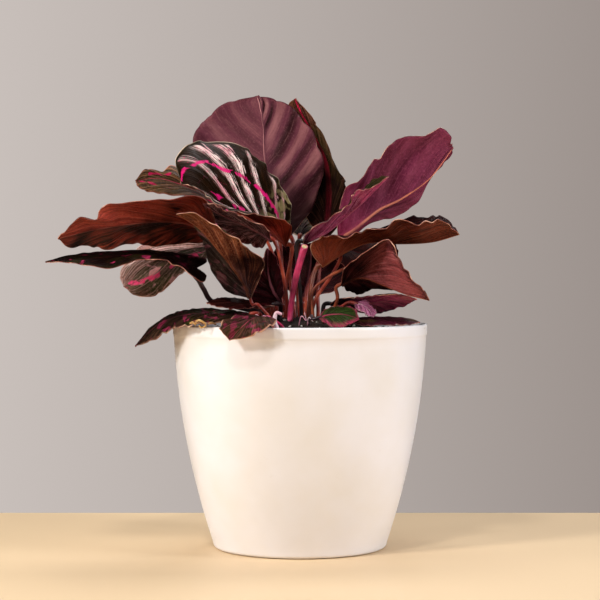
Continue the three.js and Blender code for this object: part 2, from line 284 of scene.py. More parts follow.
# white polypropylene, injection moulded: an even satin, slightly warm, with the faint orange peel
# of the mould, a few rubbed places and a speck or two of soil
def mouldedPlastic():
    material, tree = newMaterial("moulded polypropylene")
    place = objectPlace(tree)
    tint = addColours(tree, addNoise(tree, place, 55, 3), (0.35, pot["white"]), (0.7, pot["cream"]))
    rub = addNoise(tree, place, 9, 6, 0.7)
    scuffed = addMix(tree, addRamp(tree, rub, 0.66, 0.78, 0, 0.35), tint, linear(pot["scuff"]))
    crumbs = addNode(tree, "TexVoronoi", {"Scale": perMetre(24), "Vector": place}).outputs["Distance"]
    speck = addRamp(tree, crumbs, 0.035, 0.02, 0, 0.8)
    skin = addBump(tree, addNoise(tree, place, 1.4, 2), 0.25, 0.06)
    finishSkin(tree, {"IOR": 1.49, "Base Color": addMix(tree, speck, scuffed, linear(pot["speck"])),
                      "Roughness": addRamp(tree, rub, 0, 1, pot["roughness"] - 0.04, pot["roughness"] + 0.1),
                      "Normal": skin})
    return material


def makePot():
    bm = bmesh.new()
    spinProfile(bm, potProfile(), pot["turns"])
    return finishPiece("pot_shell", bm, [mouldedPlastic()], "pot_plastic", ["pot"])


makePot()
print("pot made")


# the potting mix

soil = {
    "edge": -5,  # heights above the rim, of the mound's foot and its crown
    "crown": 3.5,
    "crownRadius": 14,
    "moundRadius": 66,
    "gap": 0.3,  # from the pot's wall
    "lump": 1.1,
    "lumpSize": 7,
    "wallSteps": 8,
    "rings": 34,
    "turns": 120,
    "peat": "#0e0805",
    "loam": "#1e130d",
    "dust": "#45342a",
    "crumbs": 900,
    "crumbSize": (0.5, 1.5),
    "chips": 90,  # bark
    "chipSize": (2.2, 5.5),
    "grit": 60,  # perlite
    "gritSize": (0.7, 1.6),
    "bitsRadius": 83,  # how far out the loose bits lie
}


def soilHeight(radius):
    t = limit((radius - soil["crownRadius"]) / (soil["moundRadius"] - soil["crownRadius"]))
    return lerp(soil["crown"], soil["edge"], 0.5 - 0.5 * math.cos(math.pi * t))


def soilPoint(x, y, lift=0.0):
    return aboveRim((x, y, soilHeight(math.hypot(x, y)) + lift))


# peat-based potting mix: almost black where damp, with paler dry dust on its crumbs
def pottingMix(name, dark, middle, light, grain):
    material, tree = newMaterial(name)
    place = objectPlace(tree)
    crumb = addNoise(tree, place, grain, 8, 0.65)
    damp = addNoise(tree, place, 22, 2)
    mixed = addMath(tree, "MULTIPLY_ADD", damp, 0.6, addMath(tree, "MULTIPLY", crumb, 0.5))
    colour = addColours(tree, mixed, (0.4, dark), (0.58, middle), (0.78, light))
    finishSkin(tree, {"Roughness": 0.92, "IOR": 1.4, "Base Color": colour,
                      "Normal": addBump(tree, crumb, 0.7, 0.6)})
    return material


def makeSoil():
    bm = bmesh.new()
    inner = pot["bandStep"] + pot["wall"] + soil["gap"]
    low, top = pot["floor"] + soil["gap"], pot["height"] + soil["edge"]
    points = [(0, low)]
    for i in range(soil["wallSteps"] + 1):
        height = lerp(low, top, i / soil["wallSteps"])
        points.append((wallRadius(height) - inner, height))
    for i in range(1, soil["rings"] + 1):
        radius = lerp(wallRadius(top) - inner, 0, i / soil["rings"])
        points.append((radius, pot["height"] + soilHeight(radius)))
    spinProfile(bm, points, soil["turns"])
    for vert in bm.verts:
        radius = math.hypot(vert.co.x, vert.co.y) / mm
        if vert.co.z / mm > top - 0.01 and radius < wallRadius(top) - inner - 1:
            vert.co.z += soil["lump"] * mm * noise.fractal(vert.co / mm / soil["lumpSize"], 0.8, 2.0, 4)
    peat = pottingMix("damp peat", soil["peat"], soil["loam"], soil["dust"], 2.2)
    return finishPiece("potting_mix", bm, [peat], "potting_mix", ["soil"])


# where a loose bit lies: anywhere on the mound, clear of the wall
def scatter(chance, size):
    radius = soil["bitsRadius"] * math.sqrt(chance.random())
    angle = chance.uniform(0, 2 * math.pi)
    place = soilPoint(radius * math.cos(angle), radius * math.sin(angle), size * 0.15)
    turn = Matrix.Rotation(chance.uniform(0, 6.3), 4, "Z")
    for axis in "XY":
        turn = turn @ Matrix.Rotation(chance.uniform(-0.5, 0.5), 4, axis)
    return Matrix.Translation(place) @ turn


def scatterBits(name, count, sizes, build, material):
    chance = random.Random(name)
    bm = bmesh.new()
    for _ in range(count):
        size = lerp(*sizes, chance.random() ** 2)
        build(bm, size, scatter(chance, size), chance)
    bmesh.ops.recalc_face_normals(bm, faces=bm.faces[:])
    return finishPiece(name, bm, [material], "potting_mix", smooth=False)


def roughen(verts, chance, share, size):
    for vert in verts:
        vert.co += Vector([chance.uniform(-share, share) * size * mm for _ in range(3)])


def buildCrumb(bm, size, place, chance):
    shape = place @ Matrix.Diagonal((*[size * mm * chance.uniform(0.6, 1.1) for _ in range(3)], 1))
    made = bmesh.ops.create_icosphere(bm, subdivisions=1, radius=1, matrix=shape)
    roughen(made["verts"], chance, 0.18, size)


def buildChip(bm, size, place, chance):
    shape = place @ Matrix.Diagonal((size * mm, size * mm * chance.uniform(0.35, 0.7), size * mm * 0.22, 1))
    made = bmesh.ops.create_cube(bm, size=1, matrix=shape)
    roughen(made["verts"], chance, 0.12, size)
    edges = list({edge for vert in made["verts"] for edge in vert.link_edges})
    bmesh.ops.bevel(bm, geom=edges, offset=0.09 * size * mm, segments=1, profile=0.5, affect="EDGES",
                    material=-1)


makeSoil()
scatterBits("soil_crumbs", soil["crumbs"], soil["crumbSize"], buildCrumb,
            pottingMix("crumbled peat", "#150d08", "#2c1c13", "#4d3829", 1.2))
scatterBits("bark_chips", soil["chips"], soil["chipSize"], buildChip,
            pottingMix("pine bark", "#2b160c", "#57341f", "#8a6244", 1.6))
scatterBits("perlite_grit", soil["grit"], soil["gritSize"], buildCrumb,
            pottingMix("perlite", "#b9b1a4", "#d9d3c8", "#efece4", 0.6))
print("potting mix made")


# leaf skins

# The two sides of a prayer plant's leaf. Both have veins that leave the midrib and lean towards the
# tip, with the flesh raised between them; the vein, fromMidrib and fromMargin attributes of a blade
# say where those are. Colours run from the furrows over the flesh to the ridges; the furrow colour is
# also painted shade in the pleats' furrows, and the ridge colour painted highlight on their crests.
usualSide = {
    "furrow": "#1c0a0c",
    "flesh": "#4a1c22",
    "ridge": "#703640",
    "pleatShadeShare": 0.4,  # how plainly the painted furrow shade and ridge highlight show, and the vein in each furrow
    "lineShare": 0.5,
    "cloud": "#2a0e12",  # slow patches
    "cloudSize": 16,
    "cloudShare": 0.8,
    "streakShare": 0.6,  # long streaks along the veins, and fine ones
    "fineShare": 0.6,
    "crisp": 1.5,  # how sharply the streaks begin
    "grit": 0.3,
    "shade": "#120406",  # painted shade: what the flesh turns to where a blade is painted fully in shade
    "patchiness": 1.3,  # how unevenly, in patches, the painted shade falls
    "specular": 0.22,
    "shine": "#ffb0a4",
    "baseReach": 0.35,  # how far along the painted light at the base fades out
    "midrib": "#b06a60",
    "midribWidth": 0.7,
    "midribShare": 0.85,
    # glow: painted light inward from the margin; a dark colour paints shade there instead
    "glow": "#8a3a24",  # painted light, towards the margin
    "glowWidth": 7,
    "glowShare": 0.3,
    # edge: a thin line along the margin, partly its own pale colour, partly painted highlight where it
    # catches light
    "edge": "#c98a70",
    "edgeWidth": 0.3,
    "edgeShare": 0.7,
    "roughness": 0.38,
}

undersides = {
    "dusty purple": {
        "furrow": "#1c060a", "flesh": "#5a2a36", "ridge": "#a06866", "cloud": "#522430", "cloudShare": 0.6,
        "pleatShadeShare": 1.0, "streakShare": 0.12, "fineShare": 0.25, "midrib": "#c08480", "midribWidth": 0.5,
        "glowShare": 0.1, "glow": "#7a3640", "edge": "#2a1214", "edgeWidth": 0.5, "roughness": 0.46,
        "lineShare": 0.0, "patchiness": 0.25, "grit": 0.12, "crisp": 1,
    },
    "burgundy": {
        "furrow": "#360a18", "flesh": "#6c2840", "ridge": "#9a4860", "cloud": "#481222", "cloudSize": 22,
        "pleatShadeShare": 0.5, "midrib": "#f09070", "midribWidth": 1.0, "glow": "#6c2436", "edge": "#4a1420",
        "base": "#a83050", "streakShare": 0.2, "fineShare": 0.35, "lineShare": 0.25, "patchiness": 0.3,
        "cloudShare": 0.6, "crisp": 1,
    },
    "magenta": {
        "furrow": "#4c0c20", "flesh": "#d44c74", "ridge": "#f098b0", "cloud": "#6a1230", "midrib": "#d8687c",
        "glow": "#b43c5c", "glowShare": 0.4, "edge": "#eac8b4", "edgeWidth": 0.5,
    },
    "red brown": {
        "furrow": "#280404", "flesh": "#7c2418", "ridge": "#a83c2c", "cloud": "#440c08", "pleatShadeShare": 0.25,
        "midrib": "#b8564a", "glow": "#8c3418", "glowWidth": 12, "glowShare": 0.45, "edge": "#b06a44",
    },
    "crimson brown": {
        "furrow": "#2c0404", "flesh": "#cc5444", "ridge": "#e88068", "cloud": "#841c14", "cloudSize": 20,
        "pleatShadeShare": 0.35, "midrib": "#e08474", "midribWidth": 0.9, "glow": "#a04420", "glowWidth": 10,
        "glowShare": 0.15, "edge": "#c98a60", "shade": "#0a0101", "patchiness": 1.6, "streakShare": 0.25,
        "fineShare": 0.3, "lineShare": 0.3,
    },
    "dark brown": {
        "furrow": "#1c0402", "flesh": "#742c1c", "ridge": "#8a4c38", "cloud": "#2a0a04", "pleatShadeShare": 0.35,
        "midrib": "#a8603c", "glow": "#74381c", "edge": "#e4bc94", "edgeWidth": 0.45, "base": "#cc6044",
        "baseReach": 0.45, "crisp": 2, "fineShare": 0.7, "streakShare": 0.4,
    },
    "wavy brown": {
        "furrow": "#140303", "flesh": "#a64e50", "ridge": "#b87474", "cloud": "#4c1414", "streakShare": 0.3,
        "pleatShadeShare": 0.3, "midrib": "#c06838", "glow": "#1c0605", "edge": "#c08a60", "shade": "#0a0304",
        "fineShare": 0.4, "glowWidth": 9, "glowShare": 0.8,
    },
    # glossy wine: its pale ridge colour in crisp streaks paints highlights on near black flesh
    "glossy wine": {
        "furrow": "#060102", "flesh": "#3c0a0e", "ridge": "#d8a0a6", "cloud": "#0a0203", "cloudSize": 9,
        "midrib": "#b86a74", "midribWidth": 1.2, "glow": "#7c2428", "glowShare": 0.5, "edge": "#c05a50",
        "roughness": 0.3, "specular": 0.4, "crisp": 4, "streakShare": 0.5,
    },
    "bright magenta": {
        "furrow": "#6a1030", "flesh": "#f06a9c", "ridge": "#f090b0", "cloud": "#902050", "patch": "#6c6a2c",
        "patchShare": 0.5, "midrib": "#f0a0a8", "glow": "#c84078", "edge": "#4a1020", "shade": "#0c0306",
    },
    "tan brown": {
        "furrow": "#200a04", "flesh": "#86412c", "ridge": "#ac7456", "cloud": "#3c140c", "pleatShadeShare": 0.3,
        "midrib": "#a85a34", "glow": "#8c4824", "glowShare": 0.35, "edge": "#e4bc94", "edgeWidth": 0.45,
        "grit": 0.7, "midribShare": 0.4, "crisp": 2, "fineShare": 0.75,
    },
    "dim olive": {
        "furrow": "#080404", "flesh": "#160a08", "ridge": "#74645a", "cloud": "#0c0404", "patch": "#4c5028",
        "patchShare": 0.9, "spot": "#94505c", "spotFrom": 0.56, "midrib": "#c86a44", "midribWidth": 0.8,
        "glow": "#10060a", "edge": "#3a1c18", "shade": "#080304",
    },
    "wine black": {
        "furrow": "#060102", "flesh": "#1c0308", "ridge": "#5c1420", "cloud": "#080102", "midrib": "#a05a64",
        "midribWidth": 0.9, "glow": "#481016", "glowShare": 0.35, "edge": "#a04a50", "roughness": 0.34,
        "specular": 0.18,
    },
}

topsides = {
    "near black": {
        "furrow": "#030201", "flesh": "#100403", "ridge": "#4a1c18", "cloud": "#0c0402", "midrib": "#6a242c",
        "glow": "#3c0c10", "glowShare": 0.35, "edge": "#7c3c34", "roughness": 0.5, "specular": 0.05,
    },
    "spotted black": {
        "furrow": "#020100", "flesh": "#050202", "ridge": "#241010", "cloud": "#0a0402", "patch": "#2c3010",
        "patchShare": 0.8, "spot": "#a82850", "spotFrom": 0.64, "midrib": "#6a242c", "glow": "#3a3414",
        "glowWidth": 3, "glowShare": 0.25, "edge": "#4a1c20", "shade": "#060202", "specular": 0.08,
        "roughness": 0.33, "fineShare": 0.3,
    },
    "ringed green": {
        "furrow": "#0c1204", "flesh": "#28340f", "ridge": "#5c6a2c", "cloud": "#1c1a0a", "midrib": "#d0406a",
        "midribWidth": 1.0, "glow": "#461c10", "edge": "#745034", "ring": "#c04a70", "ringWidth": 2.4,
        "ringBreak": 0.38, "roughness": 0.36, "specular": 0.06,
    },
    "narrow green": {
        "furrow": "#120c04", "flesh": "#443416", "ridge": "#805840", "cloud": "#2c0e0c", "patch": "#6a2a22",
        "patchShare": 0.8, "midrib": "#e0204a", "midribWidth": 3, "glow": "#5c2c1c", "edge": "#a8785c",
        "specular": 0.08,
    },
    "dark green": {
        "furrow": "#0c1204", "flesh": "#22200c", "ridge": "#4a4424", "cloud": "#2a1a0c", "midrib": "#b02844",
        "glow": "#461c10", "edge": "#745034", "roughness": 0.36, "specular": 0.06,
    },
    "striped": {
        "furrow": "#0c0602", "flesh": "#160c04", "ridge": "#2c180c", "cloud": "#1e1408", "cloudShare": 0.3,
        "midrib": "#b86a70", "midribShare": 0.5, "glow": "#26240c", "glowShare": 0.5, "edge": "#e8cbb0",
        "edgeWidth": 0.7, "edgeShare": 0.9, "roughness": 0.34, "specular": 0.05, "stripe": "#f6dad0",
        "blush": "#e4909c", "stripeShade": "#8a6258", "stripeMargin": 6,
        "stripes": [(-0.6, 0.02), (-0.46, 0.015), (-0.36, 0.018), (-0.19, 0.017), (-0.07, 0.023),
            (0.03, 0.02), (0.15, 0.016)],
        "ring": "#d21a6a", "ringWidth": 2.0, "ringBreak": 0.45, "blotch": "#8c7c54", "patchiness": 0.6,
        "crisp": 2,
    },
    "olive": {
        "furrow": "#100c04", "flesh": "#3c340e", "ridge": "#946444", "cloud": "#241406", "streakShare": 0.8,
        "midrib": "#d0405c", "glow": "#8c3020", "glowShare": 0.5, "edge": "#e08a70", "edgeWidth": 0.5,
        "ring": "#c80c50", "ringWidth": 1.1, "ringBreak": 0.45, "glowWidth": 2, "crisp": 3, "fineShare": 0.7,
    },
    "mottled": {
        "furrow": "#140a04", "flesh": "#2c3c12", "ridge": "#d8a098", "cloud": "#3c1a14", "patch": "#1c3008",
        "patchShare": 0.9, "midrib": "#a04858", "glow": "#6c4438", "glowShare": 0.5, "edge": "#b08c78",
        "edgeWidth": 0.8, "ring": "#f04878", "ringWidth": 2.6, "ringBreak": 0.46, "streakShare": 0.45,
        "pleatShadeShare": 0.6, "crisp": 3, "fineShare": 0.3, "spot": "#e8a0a0", "spotFrom": 0.58,
        "cloudShare": 0.5, "specular": 0.05, "roughness": 0.5,
    },
    "pale mottled": {
        "furrow": "#2c2010", "flesh": "#b07464", "ridge": "#fcd4cc", "cloud": "#564c28", "patch": "#c8807c",
        "patchShare": 0.7, "midrib": "#e09890", "glow": "#c89888", "edge": "#e8c0b0", "edgeWidth": 0.6,
        "streakShare": 0.9, "pleatShadeShare": 0.6, "crisp": 4, "specular": 0.08,
    },
    "rim mix": {
        "furrow": "#080202", "flesh": "#0a0a02", "ridge": "#583c2c", "cloud": "#0c0204", "patch": "#2a380c",
        "patchShare": 0.85, "spot": "#a82858", "spotFrom": 0.6, "midrib": "#b04a60", "glow": "#7c4038",
        "glowWidth": 2, "glowShare": 0.5, "edge": "#e8c8a8", "edgeWidth": 0.5, "edgeShare": 0.9,
        "roughness": 0.36, "crisp": 3, "specular": 0.06,
    },
    "fresh green": {
        "furrow": "#0c1204", "flesh": "#182c0c", "ridge": "#40601f", "cloud": "#160a06", "midrib": "#d0406c",
        "midribWidth": 1.3, "glow": "#b82c5c", "glowWidth": 6, "glowShare": 0.95, "edge": "#c4486a",
        "edgeWidth": 0.5, "crisp": 3, "fineShare": 0.4,
    },
    "front mix": {
        "furrow": "#0a0602", "flesh": "#100c02", "ridge": "#7c443c", "cloud": "#1c0a06", "patch": "#20300a",
        "patchShare": 0.75, "spot": "#98204c", "spotFrom": 0.57, "midrib": "#d8586c", "midribWidth": 0.6,
        "glow": "#b0705a", "glowWidth": 1.5, "glowShare": 0.7, "edge": "#e8b898", "edgeWidth": 0.6,
        "crisp": 3, "fineShare": 0.7,
    },
    "pale pink": {
        "furrow": "#5c2038", "flesh": "#984c70", "ridge": "#e49cbc", "cloud": "#703050", "cloudSize": 6,
        "midrib": "#f0c0c4", "glow": "#c87890", "edge": "#f0c8c8",
    },
    "dark magenta": {
        "furrow": "#0c0204", "flesh": "#1e0e0c", "ridge": "#64203a", "cloud": "#161006", "cloudShare": 0.6,
        "midrib": "#a8305a", "glow": "#5c1832", "glowShare": 0.4, "edge": "#c07a80", "patch": "#5c4a24",
        "patchShare": 0.9,
    },
}


@cache
def leafSide(name):
    look = {**usualSide, **(topsides[name] if name in topsides else undersides[name])}
    material, tree = newMaterial("leaf side, " + name)
    ramp, calc, times = partial(addRamp, tree), partial(addMath, tree), partial(addMath, tree, "MULTIPLY")

    def field(name):
        return addNode(tree, "Attribute", {"attribute_name": name}).outputs["Fac"]

    def streaks(scale, detail, rough):
        drawn = addNode(tree, "Mapping", {"Scale": (*scale, 1), "Vector": run})
        return addNode(tree, "TexNoise", {"Scale": 1.0, "Detail": detail, "Roughness": rough,
                                          "Vector": drawn})

    def lay(colour, *layers):  # each layer: how plainly, which of the look's colours, and where
        for share, key, where in layers:
            strength = times(where, share)
            strength.use_clamp = True
            colour = addMix(tree, strength, colour, linear(look[key]))
        return colour

    place = objectPlace(tree)
    vein, start, along, tone = field("vein"), field("start"), field("along"), field("tone")
    fromMidrib, fromMargin = field("fromMidrib"), field("fromMargin")
    cloud = addNoise(tree, place, look["cloudSize"], 4)
    broad = addNoise(tree, place, look["cloudSize"] * 2.5, 1)
    patches = addNoise(tree, place, 7, 1)
    pores = addNoise(tree, place, 1.5, 4, 0.65)

    # streaks that follow the veins, long ones and finer ones
    run = addNode(tree, "CombineXYZ", {"X": vein, "Y": fromMidrib})
    wide = streaks((3.2, 0.045), 5, 0.6)
    thin = streaks((15, 0.09), 4, 0.65)

    # painted shade in the furrows (low) and painted highlight on the ridges (high), as plain as the pleats
    # are deep
    crest = calc("SINE", calc("MULTIPLY_ADD", calc("MULTIPLY_ADD", wide, 0.5, vein), 2 * math.pi, 0.8))
    plain = ramp(field("relief"), 0.0, 1.0, 0.12)
    low = times(ramp(crest, -0.1, -1.0), plain)
    high = times(ramp(crest, 0.2, 1.0), plain)
    colour = addNode(tree, "RGB")
    colour.outputs[0].default_value = linear(look["flesh"])
    if "patch" in look:
        colour = lay(colour, (look["patchShare"], "patch", ramp(broad, 0.5, 0.58)))
    colour = lay(colour, (look["cloudShare"], "cloud", ramp(cloud, 0.46, 0.62)))
    if "spot" in look:
        colour = lay(colour, (0.85, "spot", ramp(patches, look["spotFrom"], look["spotFrom"] + 0.04)))
    colour = lay(colour, (look["pleatShadeShare"], "furrow", low), (look["pleatShadeShare"] * 0.6, "ridge", high),
                 (look["lineShare"], "furrow", ramp(crest, -0.95, -0.99)))
    # a paler flush at the base of the blade: painted light that lifts a base lying in shade
    if "base" in look:
        colour = lay(colour, (0.8, "base", ramp(along, look["baseReach"], 0.0)))
    lit = addNode(tree, "MapRange", {"From Min": look["glowWidth"], "From Max": 0.0,
                                     "interpolation_type": "SMOOTHSTEP", "Value": fromMargin})
    # painted shade, in patches, where a blade's painted light is short of full
    paintedShade = calc("MULTIPLY_ADD", calc("ADD", cloud, wide), look["patchiness"], 0.03 - look["patchiness"])
    blur = 0.16 / look["crisp"]
    colour = lay(colour, (look["glowShare"], "glow", lit),
                 (look["streakShare"], "ridge", ramp(wide, 0.54, 0.54 + blur)),
                 (look["streakShare"], "furrow", ramp(wide, 0.48, 0.48 - blur)),
                 (look["fineShare"], "ridge", ramp(thin, 0.54, 0.54 + blur)),
                 (look["fineShare"], "furrow", ramp(thin, 0.46, 0.46 - blur)),
                 (look["grit"], "ridge", ramp(pores, 0.54, 0.66)),
                 (look["grit"], "furrow", ramp(pores, 0.46, 0.36)),
                 (1.0, "shade", ramp(calc("ADD", paintedShade, tone), 1.0, 0.0)))

    if "stripes" in look:  # feathered bands along the veins: (place, half width) in the start field
        lowest, span = -0.73, 1.75
        fray = calc("MULTIPLY_ADD", thin, 0.16, -0.08 - lowest)
        fray = calc("DIVIDE", calc("ADD", fray, start), span)
        stops = []
        for middle, half in look["stripes"]:
            for edge, shade in ((-1.2, "#000000"), (-0.6, "#ffffff"), (0.6, "#ffffff"), (1.2, "#000000")):
                stops.append(((middle + edge * half - lowest) / span, shade))
        band = times(addColours(tree, fray, *stops), ramp(fromMargin, look["stripeMargin"] * 0.5,
                                                          look["stripeMargin"]))
        band = times(band, ramp(tone, 0.0, 0.5))
        paint = lay(colour, (0.92, "stripe", ramp(wide, 0.2, 0.3)), (0.8, "blush", ramp(cloud, 0.5, 0.6)),
                    (0.85, "stripeShade", ramp(thin, 0.52, 0.45)), (0.9, "furrow", ramp(thin, 0.42, 0.36)),
                    (0.8, "furrow", ramp(wide, 0.44, 0.37)), (0.7, "ring", ramp(pores, 0.58, 0.64)))
        colour = addMix(tree, band, colour, paint)
    if "blotch" in look:  # pale blotches near the base
        near = times(times(ramp(patches, 0.47, 0.53), ramp(along, 0.34, 0.22)), ramp(tone, 0.0, 0.5))
        colour = lay(colour, (0.85, "blotch", times(near, ramp(thin, 0.38, 0.5))))
    if "ring" in look:  # a jagged, broken band that runs round the blade inside its margin
        jag = calc("MULTIPLY_ADD", thin, 4.0, calc("MULTIPLY_ADD", wide, 5.0, -4.5))
        jag = calc("ABSOLUTE", calc("ADD", jag, field("fromRing")))
        ring = times(ramp(jag, look["ringWidth"], look["ringWidth"] * 0.6),
                     ramp(patches, look["ringBreak"], look["ringBreak"] + 0.04))
        colour = lay(colour, (0.95, "ring", times(ring, ramp(thin, 0.36, 0.44))))
    # the margin line, partly painted highlight, and the midrib, which fades into the painted shade
    rim = times(ramp(fromMargin, look["edgeWidth"] * 1.6, look["edgeWidth"] * 0.6),
                ramp(broad, 0.42, 0.58, 0.15))
    reach = calc("MULTIPLY_ADD", along, -0.75 * look["midribWidth"], look["midribWidth"])
    spine = times(ramp(calc("DIVIDE", fromMidrib, reach), 1.2, 0.5), ramp(cloud, 0.38, 0.56, 0.35))
    spine = times(spine, ramp(tone, 0.1, 0.8, 0.15))
    colour = lay(colour, (look["edgeShare"], "edge", rim), (look["midribShare"], "midrib", spine))

    grain = calc("MULTIPLY_ADD", pores, 0.4, thin)
    gloss = ramp(grain, 0.4, 1.0, look["roughness"] - 0.06, look["roughness"] + 0.12)
    skin = addBump(tree, grain, 0.8, 0.3, Normal=addBump(tree, wide, 0.9, 1.5))
    finishSkin(tree, {"IOR": 1.42, "Specular IOR Level": look["specular"],
                      "Specular Tint": linear(look["shine"]), "Base Color": colour, "Roughness": gloss,
                      "Normal": skin})
    return material


# the cut through the flesh at a margin, dark red to pale in patches: the pale is painted light, as of light
# through the thin edge
def leafRim():
    material, tree = newMaterial("leaf margin")
    patch = addNoise(tree, objectPlace(tree), 8, 3)
    colour = addColours(tree, patch, (0.35, "#4a1a18"), (0.5, "#8a4436"), (0.66, "#dca68c"))
    finishSkin(tree, {"Roughness": 0.5, "Base Color": colour})
    return material


marginMaterial = leafRim()


# the blades

usualBlade = {
    "thickness": 0.5,
    "rib": 2.0,  # depth of the midrib under the blade, at its base
    "ribWidth": 1.3,
    "bulge": 0.08,  # each half bows towards the upper side by this part of its width
    "baseWidth": 1.2,
    "tipWidth": 0.5,
    "pleats": 9,
    "pleatHeight": (0.6, 0.6),  # on the left and right halves
    "lean": 0.5,  # how far the veins run towards the tip on their way out
    "leanPower": 0.5,  # low where they first follow the midrib
    "ruffle": 1.0,
    "waves": 7,
    "scallop": 0.8,
    "crinkle": 0.6,  # small buckles all over
    "curl": (0, 0),  # how far the left and right margins turn up
    # painted light: how far the left and right halves keep their flesh colour out of painted shade, at places
    # along
    "tone": [(0, 0.3, 0.3), (0.2, 1, 1), (1, 1, 1)],
    "notches": (),  # bites out of a margin: (-1 left or 1 right, along, depth, how far along it runs)
    "rings": ((), ()),  # paths of (along, across) on the left and right halves
    "route": (),  # the stalk's way from the mix to the base
    "stalk": "red",
    "girth": 1.0,
    "rowStep": 0.9,  # sizes of the mesh's faces, along and across
    "columnStep": 1.2,
}
bladeFields = ("vein", "start", "fromMidrib", "fromMargin", "fromRing", "along", "tone", "relief", "half")
offRing = 99  # fromRing where no ring is near


def bladeStations(midrib, left, right, rows):
    stations = []
    for row in range(rows + 1):
        along = row / rows
        inside = limit(along, 0.08, 0.92)  # the margins meet at both ends
        forward = curveSlope(midrib, along)
        sideways = curvePoint(right, inside) - curvePoint(left, inside)
        sideways = (sideways - forward * sideways.dot(forward)).normalized()
        stations.append((curvePoint(midrib, along), curvePoint(left, along), curvePoint(right, along),
                         sideways, sideways.cross(forward)))
    return stations


def fromRing(paths, along, side, width, length):  # in mm, below 0 inside it
    nearest = offRing
    for path in paths:
        at = limit(along, path[0][0], path[-1][0])
        for (a, first), (b, second) in zip(path, path[1:]):
            if a <= at <= b:
                middle = lerp(first, second, (at - a) / (b - a))
        gap = (side - middle) * width
        nearest = min(nearest, math.copysign(math.hypot(gap, (along - at) * length), gap), key=abs)
    return nearest if abs(nearest) < 7 else math.copysign(offRing, nearest)


# how much painted light a blade keeps, at a place along and across it
def paintedLightAt(lightStops, along, across):
    for (a, *first), (b, *second) in zip(lightStops, lightStops[1:]):
        if along <= b:
            t = (along - a) / (b - a)
            return lerp(lerp(first[0], second[0], t), lerp(first[1], second[1], t), across)
    return 1


def makeBlade(name, shape, seed):
    midrib = curveAbove(shape["midrib"])
    left = [midrib[0], *curveAbove(shape["left"]), midrib[-1]]
    right = [midrib[0], *curveAbove(shape["right"]), midrib[-1]]
    length = pathLength(midrib)
    breadth = max((a - b).length for a in left for b in midrib) / mm / 2
    rows = int(limit(length / shape["rowStep"], 40, 140))
    columns = 2 * int(limit(breadth / shape["columnStep"], 9, 20))
    stations = bladeStations(midrib, left, right, rows)

    bm = bmesh.new()
    layers = {key: bm.verts.layers.float.new(key) for key in bladeFields}
    weights = bm.verts.layers.deform.verify()

    def place(vert, across, along):
        middle, toLeft, toRight, sideways, upwards = stations[round(along * rows)]
        onRight = across >= 0.5
        half = 1 if onRight else -1
        side = abs(2 * across - 1) ** 1.25  # closer columns beside the midrib
        margin = (toRight if onRight else toLeft) - middle
        width = margin.length
        ends = math.sin(math.pi * limit(along, 0.02, 0.98)) ** 0.6
        start = along - shape["lean"] * side ** shape["leanPower"]
        count = start * shape["pleats"]
        drift = noise.noise(Vector((count * 0.45, seed * 1.7, half * 2.0)))
        vein = count + 1.1 * drift + 0.25 * half + seed * 0.37
        strength = 0.6 + 1.3 * noise.noise(Vector((count * 0.6 + 20, seed, half * 3.0 + side)))
        swing = noise.noise(Vector((along * shape["waves"] * 1.3, seed * 3.1, half * 4.0)))
        wave = 0.7 * math.sin(2 * math.pi * (shape["waves"] * along + 0.3 * half + swing)) + 0.9 * swing
        rise = 4 * side * (1 - side) * shape["bulge"] * width
        relief = shape["pleatHeight"][onRight] * strength * min(1, 4 * side) * (1 - 0.5 * side) * ends
        rise += relief * mm * math.sin(2 * math.pi * vein)
        buckle = noise.noise((middle + margin * side) * 110 + Vector((seed, 0, 0)))
        rise += shape["crinkle"] * mm * buckle * min(1, 3 * side) * ends
        rise += shape["ruffle"] * mm * wave * side ** 3 * ends
        rise += shape["curl"][onRight] * mm * side ** 4 * ends
        bite = shape["scallop"] * mm * side ** 4 * ends * (abs(math.sin(math.pi * vein)) - 0.7 + 0.6 * drift)
        for onHalf, at, depth, run in shape["notches"]:
            if onHalf == half:
                bite -= depth * mm * side ** 3 * limit(1 - abs(along - at) / run)
        reach = margin * side + (margin.normalized() * bite if width > 1e-6 else margin)
        endWidth = lerp(shape["baseWidth"], shape["tipWidth"], along) * mm
        values = {
            "vein": vein, "start": start, "relief": relief, "along": along,
            "half": half if side > 0.001 else 0,
            "tone": paintedLightAt(shape["tone"], along, limit(0.5 + half * side * 6)),
            "fromMidrib": side * (width + endWidth) / mm,
            "fromMargin": (1 - side) * (width + endWidth) / mm,
            "fromRing": fromRing(shape["rings"][onRight], along, side, width / mm, length),
        }
        for key, value in values.items():
            vert[layers[key]] = value
        spine = math.exp(-(values["fromMidrib"] / shape["ribWidth"]) ** 2)
        vert[weights][0] = limit(spine * (1 - 0.75 * along))
        return middle + reach + sideways * half * side * endWidth + upwards * rise

    layGrid(bm, columns, rows, place)
    materials = [leafSide(shape["top"]), leafSide(shape["under"]), marginMaterial]
    if "rightTop" in shape:  # the right half is coloured otherwise
        materials += [leafSide(shape["rightTop"]), leafSide(shape["rightUnder"]), marginMaterial]
        for face in bm.faces:
            if sum(vert[layers["half"]] for vert in face.verts) > 0:
                face.material_index = 3
    piece = finishPiece(name.replace("leaf", "blade"), bm, materials, shape["slot"], [name])
    piece.vertex_groups.new(name="rib")
    solid = piece.modifiers.new("thickness", "SOLIDIFY")
    solid.thickness = shape["rib"] * mm
    solid.offset = -1
    solid.vertex_group = "rib"
    solid.thickness_vertex_group = shape["thickness"] / shape["rib"]
    solid.material_offset = 1
    solid.material_offset_rim = 2
    return piece


# the stalks

